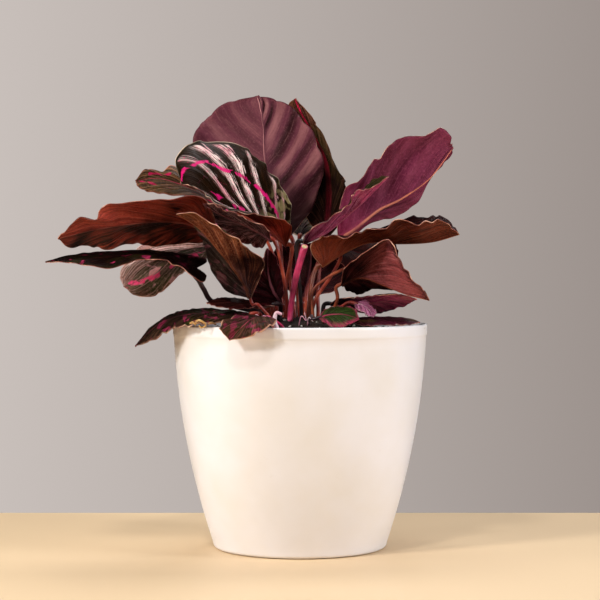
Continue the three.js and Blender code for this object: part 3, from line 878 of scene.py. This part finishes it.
stalkLooks = {
    "red": ("#3c0a08", "#8c2818", "#cc5c3c"),
    "dark": ("#0c0505", "#1c0a0c", "#34161a"),
    "orange": ("#38100a", "#8c3c20", "#c86a40"),
    "pink": ("#6c0c30", "#c42858", "#ff88ac"),
    "pale": ("#8c1c3c", "#d890a0", "#f4e0dc"),
    "straw": ("#4a2c10", "#b08040", "#e8cc88"),
    "tan": ("#4a1c10", "#94482c", "#c4744c"),
}
stalk = {
    "rise": 4,  # a stalk leaves the mix upright for this far
    "lead": 5,  # and lines up with its midrib over this length
    "overlap": 2.5,  # and ends this far inside the blade
    "foot": 1.9,  # radii: at the sheathed foot, up the stem, and at the swollen joint below the blade
    "stem": 1.2,
    "joint": 1.55,
    "sheathLength": 16,
    "jointLength": 11,
    "jointFromTip": 8,
    "jointFade": 5,
    "tipLength": 3,
}


# a fleshy stalk: smooth and moist, in long streaks of red over brown
@cache
def stalkSkin(name):
    dark, middle, light = stalkLooks[name]
    material, tree = newMaterial("stalk skin, " + name)
    around = addNode(tree, "UVMap", {"uv_map": "UVMap"})
    streaks = addNode(tree, "Mapping", {"Scale": (14, 1.5, 1), "Vector": around})
    streak = addNode(tree, "TexNoise", {"Scale": 1.0, "Detail": 4.0, "Vector": streaks})
    patch = addNoise(tree, objectPlace(tree), 11, 2)
    share = addMath(tree, "MULTIPLY_ADD", patch, 0.5, addMath(tree, "MULTIPLY", streak, 0.5))
    colour = addColours(tree, share, (0.36, dark), (0.5, middle), (0.64, light))
    finishSkin(tree, {"Roughness": 0.36, "IOR": 1.42, "Sheen Weight": 0.1, "Base Color": colour,
                      "Normal": addBump(tree, streak, 0.4, 0.2)})
    return material


def makeStalk(name, shape):
    midrib = curveAbove(shape["midrib"])
    backwards = -curveSlope(midrib, 0)
    foot = soilPoint(*shape["root"], 0.1)
    points = [foot, foot + Vector((0, 0, stalk["rise"] * mm)), *curveAbove(shape["route"]),
              midrib[0] + backwards * stalk["lead"] * mm, midrib[0] - backwards * stalk["overlap"] * mm]
    length = pathLength(points)

    def radius(along):
        toTip = (1 - along) * length
        sheath = math.exp(-along * length / stalk["sheathLength"])
        joint = limit((stalk["jointLength"] - abs(toTip - stalk["jointFromTip"])) / stalk["jointFade"])
        size = lerp(stalk["stem"], stalk["foot"], sheath)
        size = lerp(size, stalk["joint"], joint * joint * (3 - 2 * joint))
        return size * shape["girth"] * lerp(1, 0.75, limit(1 - toTip / stalk["tipLength"]))

    bm = bmesh.new()
    growStem(bm, points, radius, sides=12, steps=int(limit(length, 16, 60)))
    return finishPiece(name.replace("leaf", "stem"), bm, [stalkSkin(shape["stalk"])], "stalk",
                       [name.replace("leaf", "stalk")])


# the ring of a round blade's half, and the painted light of a blade whose base is painted in shade
evenRing = [[(0.12, 0.4), (0.3, 0.62), (0.6, 0.66), (0.9, 0.4)]]
shadedBaseLight = [(0, 0, 0), (0.3, 0.2, 0.2), (0.5, 1, 1), (1, 1, 1)]

# Each leaf is drawn by three curves from its base to its tip: the midrib, and the left and right
# margins as seen on the upper side with the tip pointing away. Its stalk starts at root on the soil
# and follows its route to the base.
leaves = {
    "back_leaf": {
        "midrib": [(-7, 10, 62), (-17, 14, 84), (-25, 20, 113), (-27, 30, 143), (-31, 40, 164)],
        "left": [(8, 20, 82), (16, 26, 108), (11, 32, 132), (-3, 38, 152), (-16, 40, 161)],
        "right": [(-28, 18, 77), (-57, 26, 95), (-77, 32, 123), (-70, 38, 145), (-53, 40, 159)],
        "root": (-4, 8), "route": [(-7, 8, 31), (-6, 9, 52)], "top": "ringed green", "under": "dusty purple",
        "slot": "leaf_purple", "pleats": 5.5, "pleatHeight": (2.6, 0.5), "lean": 0.2, "leanPower": 0.9,
        "scallop": 2.2, "crinkle": 0.3, "rings": (evenRing, evenRing),
        "tone": [(0, 0.05, 0.05), (0.2, 0.2, 0.3), (0.42, 1, 0.9), (1, 1, 1)],
    },
    "back_narrow_leaf": {
        "midrib": [(18, 22, 59), (21, 30, 88), (19, 38, 116), (10, 44, 137), (2, 48, 150), (-4, 50, 163)],
        "left": [(5, 28, 77), (1, 38, 103), (-2, 46, 125), (-6, 52, 146), (-8, 54, 159)],
        "right": [(29, 30, 74), (34, 34, 97), (27, 38, 110), (18, 44, 133), (8, 48, 150)],
        "root": (5, 11), "route": [(5, 13, 23), (13, 18, 43)], "top": "narrow green", "under": "burgundy",
        "slot": "leaf_dark_green", "pleats": 12, "scallop": 0.6,
        "tone": [(0, 0, 0), (0.3, 0, 0.2), (0.48, 0.05, 0.8), (0.6, 1, 1), (1, 1, 1)],
        "notches": [(1, 0.75, 2.5, 0.03), (1, 0.55, 3, 0.06), (1, 0.35, 3, 0.05)],
    },
    "left_olive_leaf": {
        "midrib": [(-52, 14, 83), (-68, 14, 91), (-86, 12, 99), (-102, 10, 103), (-117, 8, 101)],
        "left": [(-56, 4, 79), (-75, 0, 89), (-94, 0, 92), (-108, 2, 94), (-115, 4, 97)],
        "right": [(-57, 22, 88), (-73, 24, 98), (-90, 22, 112), (-102, 18, 109), (-111, 14, 109)],
        "root": (-11, 9), "route": [(-13, 11, 23), (-19, 13, 48), (-30, 14, 68)], "top": "olive",
        "under": "red brown", "slot": "leaf_olive", "pleats": 8,
        "rings": ([[(0.1, 0.5), (0.5, 0.6), (0.9, 0.4)]], [[(0.1, 0.45), (0.5, 0.5), (0.9, 0.4)]]),
        "scallop": 0.3, "ruffle": 0.5, "tone": [(0, 0, 0), (0.35, 0.4, 0.4), (0.6, 1, 1), (1, 1, 1)],
        "notches": [(1, 0.62, 3, 0.08)],
    },
    "striped_leaf": {
        "midrib": [(-9, -10, 55), (-23, -20, 67), (-36, -32, 76), (-54, -44, 83), (-68, -52, 93),
            (-81, -50, 97)],
        "left": [(-6, -18, 69), (-16, -32, 75), (-26, -44, 77), (-41, -52, 78), (-53, -58, 81),
            (-63, -60, 89), (-72, -57, 95)],
        "right": [(-6, -2, 82), (-14, 4, 100), (-27, 6, 114), (-43, 4, 126), (-71, -10, 128),
            (-86, -28, 116)],
        "root": (-7, -4), "route": [(-10, -5, 24)], "top": "striped", "under": "red brown",
        "slot": "leaf_dark_green", "pleats": 8, "lean": 0.73, "leanPower": 0.25, "ruffle": 1.4,
        "scallop": 1.2,
        "rings": ([], [[(0.2, 0.36), (0.35, 0.42), (0.5, 0.46), (0.62, 0.44), (0.72, 0.54), (0.82, 0.48),
            (0.98, 0.56)], [(0.44, 0.02), (0.63, 0.06)]]),
        "tone": [(0, 0.5, 0.5), (0.12, 0.9, 0.9), (0.3, 1, 1), (1, 1, 1)],
        "notches": [(1, 0.35, 2.0, 0.05), (1, 0.5, 1.5, 0.04)],
    },
    "under_leaf": {
        "midrib": [(-21, -24, 60), (-31, -34, 66), (-44, -44, 72), (-57, -54, 78), (-65, -60, 83)],
        "left": [(-24, -42, 67), (-39, -56, 74), (-52, -63, 79), (-60, -66, 83)],
        "right": [(-25, -15, 54), (-31, -14, 55), (-42, -18, 59), (-52, -28, 66), (-61, -40, 74)],
        "root": (-9, -15), "route": [(-10, -18, 24), (-14, -21, 46)], "top": "near black",
        "under": "glossy wine", "slot": "leaf_burgundy", "pleats": 8,
        "tone": [(0, 0.3, 0.3), (0.3, 1, 0.9), (1, 1, 1)],
    },
    "left_long_leaf": {
        "midrib": [(-59, -30, 60), (-76, -34, 70), (-97, -38, 72), (-118, -42, 70), (-141, -46, 66),
            (-165, -50, 60)],
        "left": [(-59, -52, 75), (-68, -64, 87), (-91, -68, 85), (-115, -68, 83), (-133, -66, 81),
            (-138, -62, 71), (-149, -60, 73), (-159, -55, 65)],
        "right": [(-60, -18, 57), (-78, -10, 58), (-99, -8, 55), (-116, -10, 57), (-134, -14, 53),
            (-148, -22, 55), (-159, -36, 54)],
        "root": (-19, -6), "route": [(-24, -8, 24), (-41, -20, 43)], "top": "near black",
        "under": "crimson brown", "slot": "leaf_red_brown", "pleats": 12, "scallop": 0.3, "waves": 6,
        "tone": [(0, 0.3, 0.0), (0.3, 0.4, 0.05), (0.5, 0.7, 0.1), (0.62, 1, 0.15), (0.8, 0.8, 0.15),
            (1, 0.6, 0.15)],
    },
    "left_drooping_leaf": {
        "midrib": [(-63, -2, 55), (-78, -4, 53), (-95, -8, 48), (-111, -10, 39), (-123, -12, 26)],
        "left": [(-67, -16, 43), (-79, -24, 37), (-89, -30, 28), (-101, -30, 19), (-115, -22, 20)],
        "right": [(-72, 12, 59), (-94, 18, 57), (-114, 16, 52), (-124, 8, 41), (-126, -2, 32)],
        "root": (-15, 2), "route": [(-22, 2, 19), (-43, 0, 41)], "top": "mottled", "under": "wine black",
        "rightTop": "pale mottled", "rightUnder": "wine black", "slot": "leaf_olive", "pleats": 7,
        "curl": (1.5, 2.5), "crinkle": 1.0,
        "rings": ([[(0.2, 0.5), (0.6, 0.55), (0.8, 0.5), (0.95, 0.3)]], [[(0.75, 0.5), (0.9, 0.5)]]),
        "scallop": 0.2, "ruffle": 0.6, "lean": 1.1, "leanPower": 0.7,
    },
    "left_dark_leaf": {
        "midrib": [(-74, -50, 37), (-81, -53, 44), (-93, -57, 47), (-115, -62, 48), (-142, -66, 46),
            (-171, -68, 44)],
        "left": [(-64, -57, 36), (-66, -67, 31), (-80, -76, 41), (-100, -82, 46), (-126, -84, 40),
            (-150, -80, 43)],
        "right": [(-64, -42, 43), (-67, -33, 46), (-80, -28, 47), (-104, -32, 50), (-134, -42, 50),
            (-156, -56, 48)],
        "root": (-24, -12), "route": [(-42, -30, 12), (-60, -36, 16), (-66, -44, 25)],
        "top": "spotted black", "under": "red brown", "slot": "leaf_dark_green", "pleats": 11, "ruffle": 0.9,
        "stalk": "dark", "girth": 1.4, "scallop": 0.3,
        "tone": [(0, 0, 0), (0.4, 0.1, 0.1), (0.6, 1, 0.2), (1, 1, 0.2)],
    },
    "left_folded_leaf": {
        "midrib": [(-34, -48, 19), (-38, -50, 29), (-46, -54, 41), (-57, -62, 55), (-69, -70, 68),
            (-82, -76, 76)],
        "left": [(-28, -50, 33), (-25, -58, 44), (-34, -66, 52), (-44, -72, 60), (-58, -78, 69),
            (-70, -80, 76)],
        "right": [(-50, -36, 24), (-61, -42, 41), (-64, -50, 54), (-67, -58, 61), (-73, -68, 70)],
        "root": (-18, -43), "route": [(-28, -50, 14)], "top": "near black", "under": "tan brown",
        "rightTop": "near black", "rightUnder": "dim olive", "slot": "leaf_brown", "ruffle": 0.9,
        "scallop": 0.3, "crinkle": 0.9,
        "tone": [(0, 0, 0.1), (0.35, 0.1, 0.35), (0.55, 0.8, 0.9), (1, 1, 1)], "girth": 0.7, "waves": 5,
    },
    "centre_leaf": {
        "midrib": [(-14, -13, 15), (-20, -16, 25), (-23, -18, 38), (-23, -22, 53)],
        "left": [(-12, -12, 24), (-14, -14, 36), (-18, -18, 48)],
        "right": [(-30, -19, 16), (-38, -24, 22), (-34, -27, 33), (-27, -26, 43)],
        "root": (-17, -12), "top": "near black", "under": "wine black", "slot": "leaf_burgundy", "pleats": 6,
    },
    "left_low_leaf": {
        "midrib": [(-18, -28, 14), (-35, -38, 15), (-50, -48, 16), (-63, -58, 16)],
        "left": [(-29, -38, 13), (-44, -56, 12), (-57, -62, 14)],
        "right": [(-29, -27, 16), (-42, -28, 18), (-54, -44, 19)],
        "root": (-14, -22), "top": "near black", "under": "wine black", "slot": "leaf_burgundy", "pleats": 6,
        "crinkle": 0.5, "stalk": "dark", "ruffle": 0.6, "scallop": 0.4,
    },
    "left_rim_leaf": {
        "midrib": [(-33, -46, 8), (-54, -50, 8), (-76, -46, 8), (-97, -34, 1), (-115, -22, -15)],
        "left": [(-38, -62, 4), (-59, -70, 4), (-74, -64, 2), (-88, -50, -1), (-101, -40, -9)],
        "right": [(-36, -30, 7), (-61, -20, 9), (-86, -6, 5), (-105, -8, -5)],
        "root": (-27, -30), "top": "rim mix", "under": "red brown", "slot": "leaf_red_brown", "pleats": 12,
        "ruffle": 1.2, "waves": 10, "scallop": 0.4, "crinkle": 1.2, "curl": (-1.2, 0),
    },
    "front_rim_leaf": {
        "midrib": [(-23, -60, 6), (-31, -77, 6), (-38, -90, 1), (-47, -89, -8)],
        "left": [(-16, -74, 5), (-21, -96, 1), (-33, -97, -5)],
        "right": [(-34, -66, 7), (-46, -80, 6), (-53, -88, 0)],
        "root": (-12, -55), "top": "front mix", "under": "magenta", "slot": "leaf_green", "pleats": 6,
        "ruffle": 1.8, "waves": 5, "bulge": 0.13, "crinkle": 1.6, "stalk": "pink", "girth": 0.6,
    },
    "right_upper_leaf": {
        "midrib": [(27, 4, 60), (40, 8, 68), (55, 12, 80), (74, 16, 90), (93, 20, 104), (110, 26, 126)],
        "left": [(37, 14, 62), (52, 22, 73), (69, 28, 77), (85, 32, 88), (97, 34, 108), (108, 32, 120)],
        "right": [(27, -2, 76), (35, 0, 98), (49, 0, 110), (56, 2, 120), (74, 6, 132), (98, 14, 139),
            (108, 20, 134)],
        "root": (8, -4), "route": [(12, -3, 19), (23, 0, 35), (29, 4, 48)], "top": "ringed green",
        "under": "burgundy", "slot": "leaf_burgundy", "pleats": 5, "scallop": 0.4,
        "tone": [(0, 0.9, 0.9), (0.2, 1, 1), (1, 1, 1)], "pleatHeight": (0.8, 1.7), "crinkle": 0.3,
        "lean": 0.35, "leanPower": 0.8,
        "notches": [(1, 0.3, 4.5, 0.07), (1, 0.5, 4, 0.05), (1, 0.7, 4, 0.07), (1, 0.93, 3, 0.03)],
        "rings": (evenRing, evenRing),
    },
    "spear_leaf": {
        "midrib": [(2, -14, 57), (17, -18, 64), (31, -22, 75), (45, -26, 87), (61, -30, 103)],
        "left": [(6, -8, 62), (19, -8, 71), (32, -12, 83), (44, -18, 95), (54, -24, 102)],
        "right": [(5, -20, 64), (19, -28, 73), (32, -34, 82), (38, -36, 92), (49, -34, 95)],
        "root": (1, -9), "route": [(0, -11, 24)], "top": "dark green", "under": "magenta",
        "slot": "leaf_burgundy", "stalk": "dark",
        "tone": [(0, 0, 0), (0.15, 0.5, 0.5), (0.3, 1, 1), (1, 1, 1)],
    },
    "right_long_leaf": {
        "midrib": [(15, -14, 41), (31, -18, 51), (48, -22, 58), (69, -26, 57), (91, -30, 58),
            (110, -32, 63)],
        "left": [(31, -8, 53), (42, 4, 59), (57, 12, 66), (73, 14, 74), (85, 8, 76), (99, -2, 75),
            (106, -16, 71)],
        "right": [(9, -26, 48), (8, -34, 57), (17, -42, 61), (30, -48, 61), (42, -50, 65), (57, -54, 67),
            (67, -58, 72), (79, -56, 70), (93, -50, 72), (103, -42, 69)],
        "root": (6, -18), "route": [(7, -18, 20)], "top": "near black", "under": "dark brown",
        "slot": "leaf_brown", "pleats": 12, "ruffle": 1.4, "waves": 8, "stalk": "tan",
        "tone": [(0, 1, 1), (0.3, 1, 1), (0.45, 0.5, 0.75), (0.7, 0.5, 0.75), (1, 0.8, 0.8)], "scallop": 0.5,
        "notches": [(1, 0.93, 2.5, 0.03), (1, 0.8, 1.2, 0.03), (-1, 0.9, 1.5, 0.03)],
    },
    "right_inner_leaf": {
        "midrib": [(32, -24, 39), (42, -20, 43), (54, -14, 48), (69, -8, 52)],
        "left": [(36, -8, 43), (49, 4, 50), (65, 4, 59)],
        "right": [(40, -34, 38), (54, -30, 41), (67, -18, 43)],
        "root": (9, -26), "route": [(9, -26, 23), (18, -26, 32)], "top": "near black", "under": "red brown",
        "slot": "leaf_red_brown", "pleats": 7, "stalk": "orange", "girth": 0.75,
    },
    "right_drooping_leaf": {
        "midrib": [(29, -28, 28), (36, -32, 32), (45, -38, 33), (58, -44, 28), (73, -50, 22), (88, -54, 18)],
        "left": [(32, -18, 24), (40, -14, 22), (51, -16, 25), (64, -26, 25), (75, -38, 21)],
        "right": [(31, -44, 39), (42, -58, 48), (59, -70, 58), (66, -72, 46), (75, -66, 33), (84, -60, 25)],
        "root": (22, -22), "route": [(26, -26, 18)], "top": "near black", "under": "wavy brown",
        "slot": "leaf_red_brown", "pleats": 10, "stalk": "orange",
        "tone": [(0, 0.1, 0), (0.33, 0.15, 0.1), (0.46, 0.3, 0.6), (0.7, 0.4, 1), (1, 0.6, 1)],
        "girth": 0.85,
    },
    "right_low_leaf": {
        "midrib": [(22, -8, 14), (35, -14, 15), (50, -20, 16), (66, -26, 18), (81, -30, 18)],
        "left": [(32, 4, 9), (51, 6, 7), (62, 0, 9), (73, -14, 13)],
        "right": [(28, -22, 18), (42, -34, 19), (56, -40, 21), (70, -36, 21)],
        "root": (16, -6), "top": "dark magenta", "under": "bright magenta", "slot": "leaf_burgundy",
        "pleats": 8, "stalk": "dark", "scallop": 0.2, "ruffle": 0.6,
        "tone": [(0, 0, 0), (0.2, 0.1, 0.05), (0.4, 1, 1), (1, 1, 1)],
    },
    "small_green_leaf": {
        "midrib": [(13, -60, 6), (21, -62, 8), (30, -64, 8), (40, -64, 5)],
        "left": [(17, -50, 11), (27, -46, 13), (37, -52, 12)],
        "right": [(17, -70, 3), (25, -76, 0), (33, -74, 2)],
        "root": (6, -38), "route": [(8, -52, 7)], "top": "fresh green", "under": "magenta",
        "slot": "leaf_green", "pleats": 6, "ruffle": 0.6, "stalk": "dark", "girth": 0.7, "scallop": 0.3,
    },
    "pink_leaf": {
        "midrib": [(38, -42, 15), (43, -46, 14), (47, -50, 11), (50, -52, 6)],
        "left": [(45, -40, 17), (49, -44, 13), (52, -48, 9)],
        "right": [(39, -50, 12), (43, -53, 10), (47, -54, 7)],
        "root": (17, -30), "route": [(29, -36, 13)], "top": "pale pink", "under": "magenta",
        "slot": "leaf_burgundy", "pleats": 4, "girth": 0.7,
    },
    "right_rim_leaf": {
        "midrib": [(32, -40, 4), (48, -42, 4), (67, -38, 3), (83, -28, 2)],
        "left": [(43, -24, 4), (64, -18, 4), (78, -18, 3)],
        "right": [(42, -58, 1), (62, -56, 1), (75, -44, 1)],
        "root": (24, -26), "top": "dark magenta", "under": "wine black", "slot": "leaf_burgundy",
        "pleats": 8, "ruffle": 0.8, "stalk": "dark", "scallop": 0.3,
    },
    "rear_leaf": {
        "midrib": [(0, 30, 62), (3, 55, 78), (4, 85, 85), (3, 120, 82)],
        "left": [(-9, 38, 67), (-24, 60, 80), (-19, 90, 89), (-7, 112, 85)],
        "right": [(10, 38, 67), (22, 60, 80), (21, 90, 89), (10, 112, 85)],
        "root": (-1, 19), "route": [(-2, 20, 30)], "top": "striped", "under": "burgundy",
        "slot": "leaf_dark_green", "tone": shadedBaseLight,
    },
    "rear_left_leaf": {
        "midrib": [(-18, 26, 59), (-37, 42, 68), (-55, 62, 74), (-72, 84, 76)],
        "left": [(-26, 24, 59), (-47, 32, 62), (-64, 54, 67)],
        "right": [(-24, 42, 73), (-42, 66, 85), (-61, 84, 84)],
        "root": (-11, 18), "route": [(-12, 18, 23)], "top": "ringed green", "under": "burgundy",
        "slot": "leaf_dark_green", "rings": (evenRing, evenRing), "tone": shadedBaseLight,
    },
    "rear_low_leaf": {
        "midrib": [(3, 26, 17), (6, 36, 29), (8, 44, 43), (8, 50, 57)],
        "left": [(26, 30, 24), (33, 38, 37), (30, 46, 52)],
        "right": [(-14, 32, 27), (-20, 40, 40), (-16, 48, 54)],
        "root": (2, 28), "top": "dark green", "under": "wine black", "slot": "leaf_burgundy", "pleats": 7,
    },
    "rear_drooping_leaf": {
        "midrib": [(-14, 40, 11), (-16, 66, 13), (-19, 92, 5), (-22, 112, -12)],
        "left": [(-27, 42, 10), (-36, 64, 11), (-35, 92, 2)],
        "right": [(-3, 48, 11), (3, 70, 12), (-2, 96, 1)],
        "root": (-8, 28), "top": "dark magenta", "under": "red brown", "slot": "leaf_red_brown",
    },
    "rear_right_leaf": {
        "midrib": [(21, 30, 55), (36, 38, 52), (52, 44, 47), (68, 48, 40)],
        "left": [(30, 46, 62), (46, 56, 62), (62, 60, 54)],
        "right": [(28, 22, 44), (44, 24, 34), (60, 32, 30)],
        "root": (13, 14), "route": [(13, 16, 26)], "top": "near black", "under": "wine black",
        "slot": "leaf_dark_green", "tone": shadedBaseLight,
    },
}

for seed, (name, leaf) in enumerate(leaves.items()):
    shape = {**usualBlade, **leaf}
    makeBlade(name, shape, seed)
    makeStalk(name, shape)
print("leaves made:", len(leaves))


# the short stems

shoots = {
    "cut_stalk": {
        "root": (-7, -30), "path": [(-6, -30, 15), (-2, -30, 36), (4, -30, 57)],
        "radii": (1.9, 2.4), "skin": "pink",
        "cut": (0.15, -0.8, 1), "cutBelow": 2.6,  # which way the cut faces, and how far under the top
    },
    "curled_shoot": {
        "root": (-14, -62), "path": [(-17, -62, 3), (-16, -62, 9), (-12, -62, 8)],
        "radii": (1.7, 1.0), "skin": "pale",
    },
}


# the face of a cut stalk: pale wet pith inside a darker skin
def cutPith():
    material, tree = newMaterial("cut pith")
    fibre = addNoise(tree, objectPlace(tree), 0.8, 3)
    colour = addColours(tree, fibre, (0.35, "#6a4a20"), (0.5, "#c8a860"), (0.65, "#ecd8a0"))
    finishSkin(tree, {"Roughness": 0.4, "Base Color": colour, "Normal": addBump(tree, fibre, 0.6, 0.3)})
    return material


def makeShoot(name, shoot):
    points = [soilPoint(*shoot["root"], 0.1), *curveAbove(shoot["path"])]
    bm = bmesh.new()
    growStem(bm, points, lambda along: lerp(*shoot["radii"], along), sides=16, steps=30)
    materials = [stalkSkin(shoot["skin"])]
    if "cut" in shoot:
        everything = bm.verts[:] + bm.edges[:] + bm.faces[:]
        middle = points[-1] - Vector((0, 0, shoot["cutBelow"] * mm))
        sliced = bmesh.ops.bisect_plane(bm, geom=everything, plane_co=middle,
                                        plane_no=Vector(shoot["cut"]).normalized(), clear_outer=True)
        rim = [edge for edge in sliced["geom_cut"] if isinstance(edge, bmesh.types.BMEdge)]
        face = bmesh.ops.edgeloop_fill(bm, edges=rim, mat_nr=1)["faces"]
        ring = bmesh.ops.inset_region(bm, faces=face, thickness=0.5 * mm, depth=-0.15 * mm)["faces"]
        for part in ring:
            part.material_index = 0
        bmesh.ops.recalc_face_normals(bm, faces=bm.faces[:])
        materials.append(cutPith())
    return finishPiece(name + "_stem", bm, materials, "cut_stalk", [name])


for name, shoot in shoots.items():
    makeShoot(name, shoot)
print("short stems made")


# scraps on the mix: white roots that stand out of it, and the dried curls of old leaves
scraps = {
    "white_roots": {"skin": "pale", "radius": 0.3, "paths": [
        [(-33, -62, 1), (-32, -63, 6), (-29, -63, 8), (-26, -62, 4)],
        [(-28, -60, 0), (-25, -62, 7), (-22, -62, 6)],
        [(-1, -60, 0), (1, -62, 7), (4, -63, 4), (3, -62, 10)],
        [(5, -56, 0), (6, -58, 6), (9, -60, 3)]]},
    "dried_curls": {"skin": "straw", "radius": 0.8, "paths": [
        [(-69, -65, 2), (-70, -70, 3.5), (-67, -73, 4.5), (-63, -72, 1.5), (-66, -72, -0.5), (-68, -72, 1.5)],
        [(-62, -68, 2), (-59, -71, 2.8), (-56, -70, 1.2)],
        [(-74, -62, 2), (-72, -67, 3), (-70, -68, 1)]]},
}


def makeScraps(name, scrap):
    bm = bmesh.new()
    for path in scrap["paths"]:
        growStem(bm, curveAbove(path), lambda along: scrap["radius"] * lerp(1.2, 0.6, along),
                 sides=8, steps=18)
    return finishPiece(name, bm, [stalkSkin(scrap["skin"])], "young_shoot")


for name, scrap in scraps.items():
    makeScraps(name, scrap)
print("scraps laid on the mix")


# the stage: a pale table that ends behind the pot, and soft studio lamps, placed in metres

stage = {
    "table": "#e6c8a0",
    "tableSize": (2.6, 1.5),
    "tableBack": 0.172,
    "tableDrop": 0.0004,  # so that it doesn't lie in one plane with the pot's underside
    "wall": "#c8bfba",  # from left to right
    "wallShade": "#9d938e",
    "wallSpan": 0.16,  # the slant of the view at which each is reached
    "shade": 0.06,  # how much of the wall's light falls on the plant
    "eye": (0, -1.32, 0.2045),
    "lens": 111.8,
    "sensor": 36,
    "drop": 1.303,  # degrees the view looks down
}
lamps = {  # aim is a height on the pot's axis
    "left softbox": {"place": (-1.0, -0.85, 0.85), "aim": 0.15, "size": (0.2, 0.2), "power": 13},
    "front top softbox": {"place": (-0.25, -0.75, 1.2), "aim": 0.15, "size": (0.14, 0.14), "power": 4.5},
    "left side softbox": {"place": (-1.3, -0.2, 0.4), "aim": 0.15, "size": (0.4, 0.6), "power": 7},
    "right softbox": {"place": (1.25, -0.5, 0.55), "aim": 0.15, "size": (0.4, 0.5), "power": 15.2,
                      "tint": "#f2f6ff"},
    "low front fill": {"place": (-0.2, -1.6, 0.14), "aim": 0.18, "size": (1.5, 0.26), "power": 1.2},
    "top softbox": {"place": (0.0, 0.3, 1.3), "aim": 0.25, "size": (0.6, 0.4), "power": 6},
    "back softbox": {"place": (0.3, 1.15, 1.25), "aim": 0.2, "size": (0.6, 0.4), "power": 4},
}


def makeTable():
    material, tree = newMaterial("pale table")
    finishSkin(tree, {"Base Color": linear(stage["table"]), "Roughness": 0.55})
    bm = bmesh.new()
    width, depth = stage["tableSize"]
    middle = Matrix.Translation((0, stage["tableBack"] - depth / 2, -stage["tableDrop"]))
    bmesh.ops.create_grid(bm, x_segments=1, y_segments=1, size=0.5,
                          matrix=middle @ Matrix.Diagonal((width, depth, 1, 1)))
    mesh = bpy.data.meshes.new("table")
    bm.to_mesh(mesh)
    bm.free()
    mesh.materials.append(material)
    floor = bpy.data.objects.new("table", mesh)
    scene.collection.objects.link(floor)


def makeWall():
    world = bpy.data.worlds.new("studio")
    world.use_nodes = True
    tree = world.node_tree
    tree.nodes.clear()
    way = addNode(tree, "TexCoord").outputs["Generated"]
    across = addNode(tree, "SeparateXYZ", {"Vector": way}).outputs["X"]
    paint = addColours(tree, addRamp(tree, across, -stage["wallSpan"], stage["wallSpan"]),
                       (0, stage["wall"]), (1, stage["wallShade"]))
    seen = addNode(tree, "LightPath").outputs["Is Camera Ray"]
    strength = addRamp(tree, seen, 0, 1, stage["shade"], 1)
    wall = addNode(tree, "Background", {"Color": paint, "Strength": strength})
    addNode(tree, "OutputWorld", {"Surface": wall})
    scene.world = world


def addLamp(name, place, aim, size, power, tint="#ffffff"):
    lamp = bpy.data.lights.new(name, "AREA")
    lamp.shape = "RECTANGLE"
    lamp.size, lamp.size_y = size
    lamp.energy = power
    lamp.color = linear(tint)[:3]
    holder = bpy.data.objects.new(name, lamp)
    holder.location = place
    holder.rotation_euler = (Vector((0, 0, aim)) - Vector(place)).to_track_quat("-Z", "Y").to_euler()
    scene.collection.objects.link(holder)


def addCamera():
    view = bpy.data.cameras.new("camera")
    view.lens = stage["lens"]
    view.sensor_width = stage["sensor"]
    holder = bpy.data.objects.new("camera", view)
    holder.location = stage["eye"]
    holder.rotation_euler = (math.radians(90 - stage["drop"]), 0, 0)
    scene.collection.objects.link(holder)
    scene.camera = holder


makeTable()
makeWall()
for name, lamp in lamps.items():
    addLamp(name, **lamp)
addCamera()
scene.view_settings.view_transform = "Standard"
print("stage set")
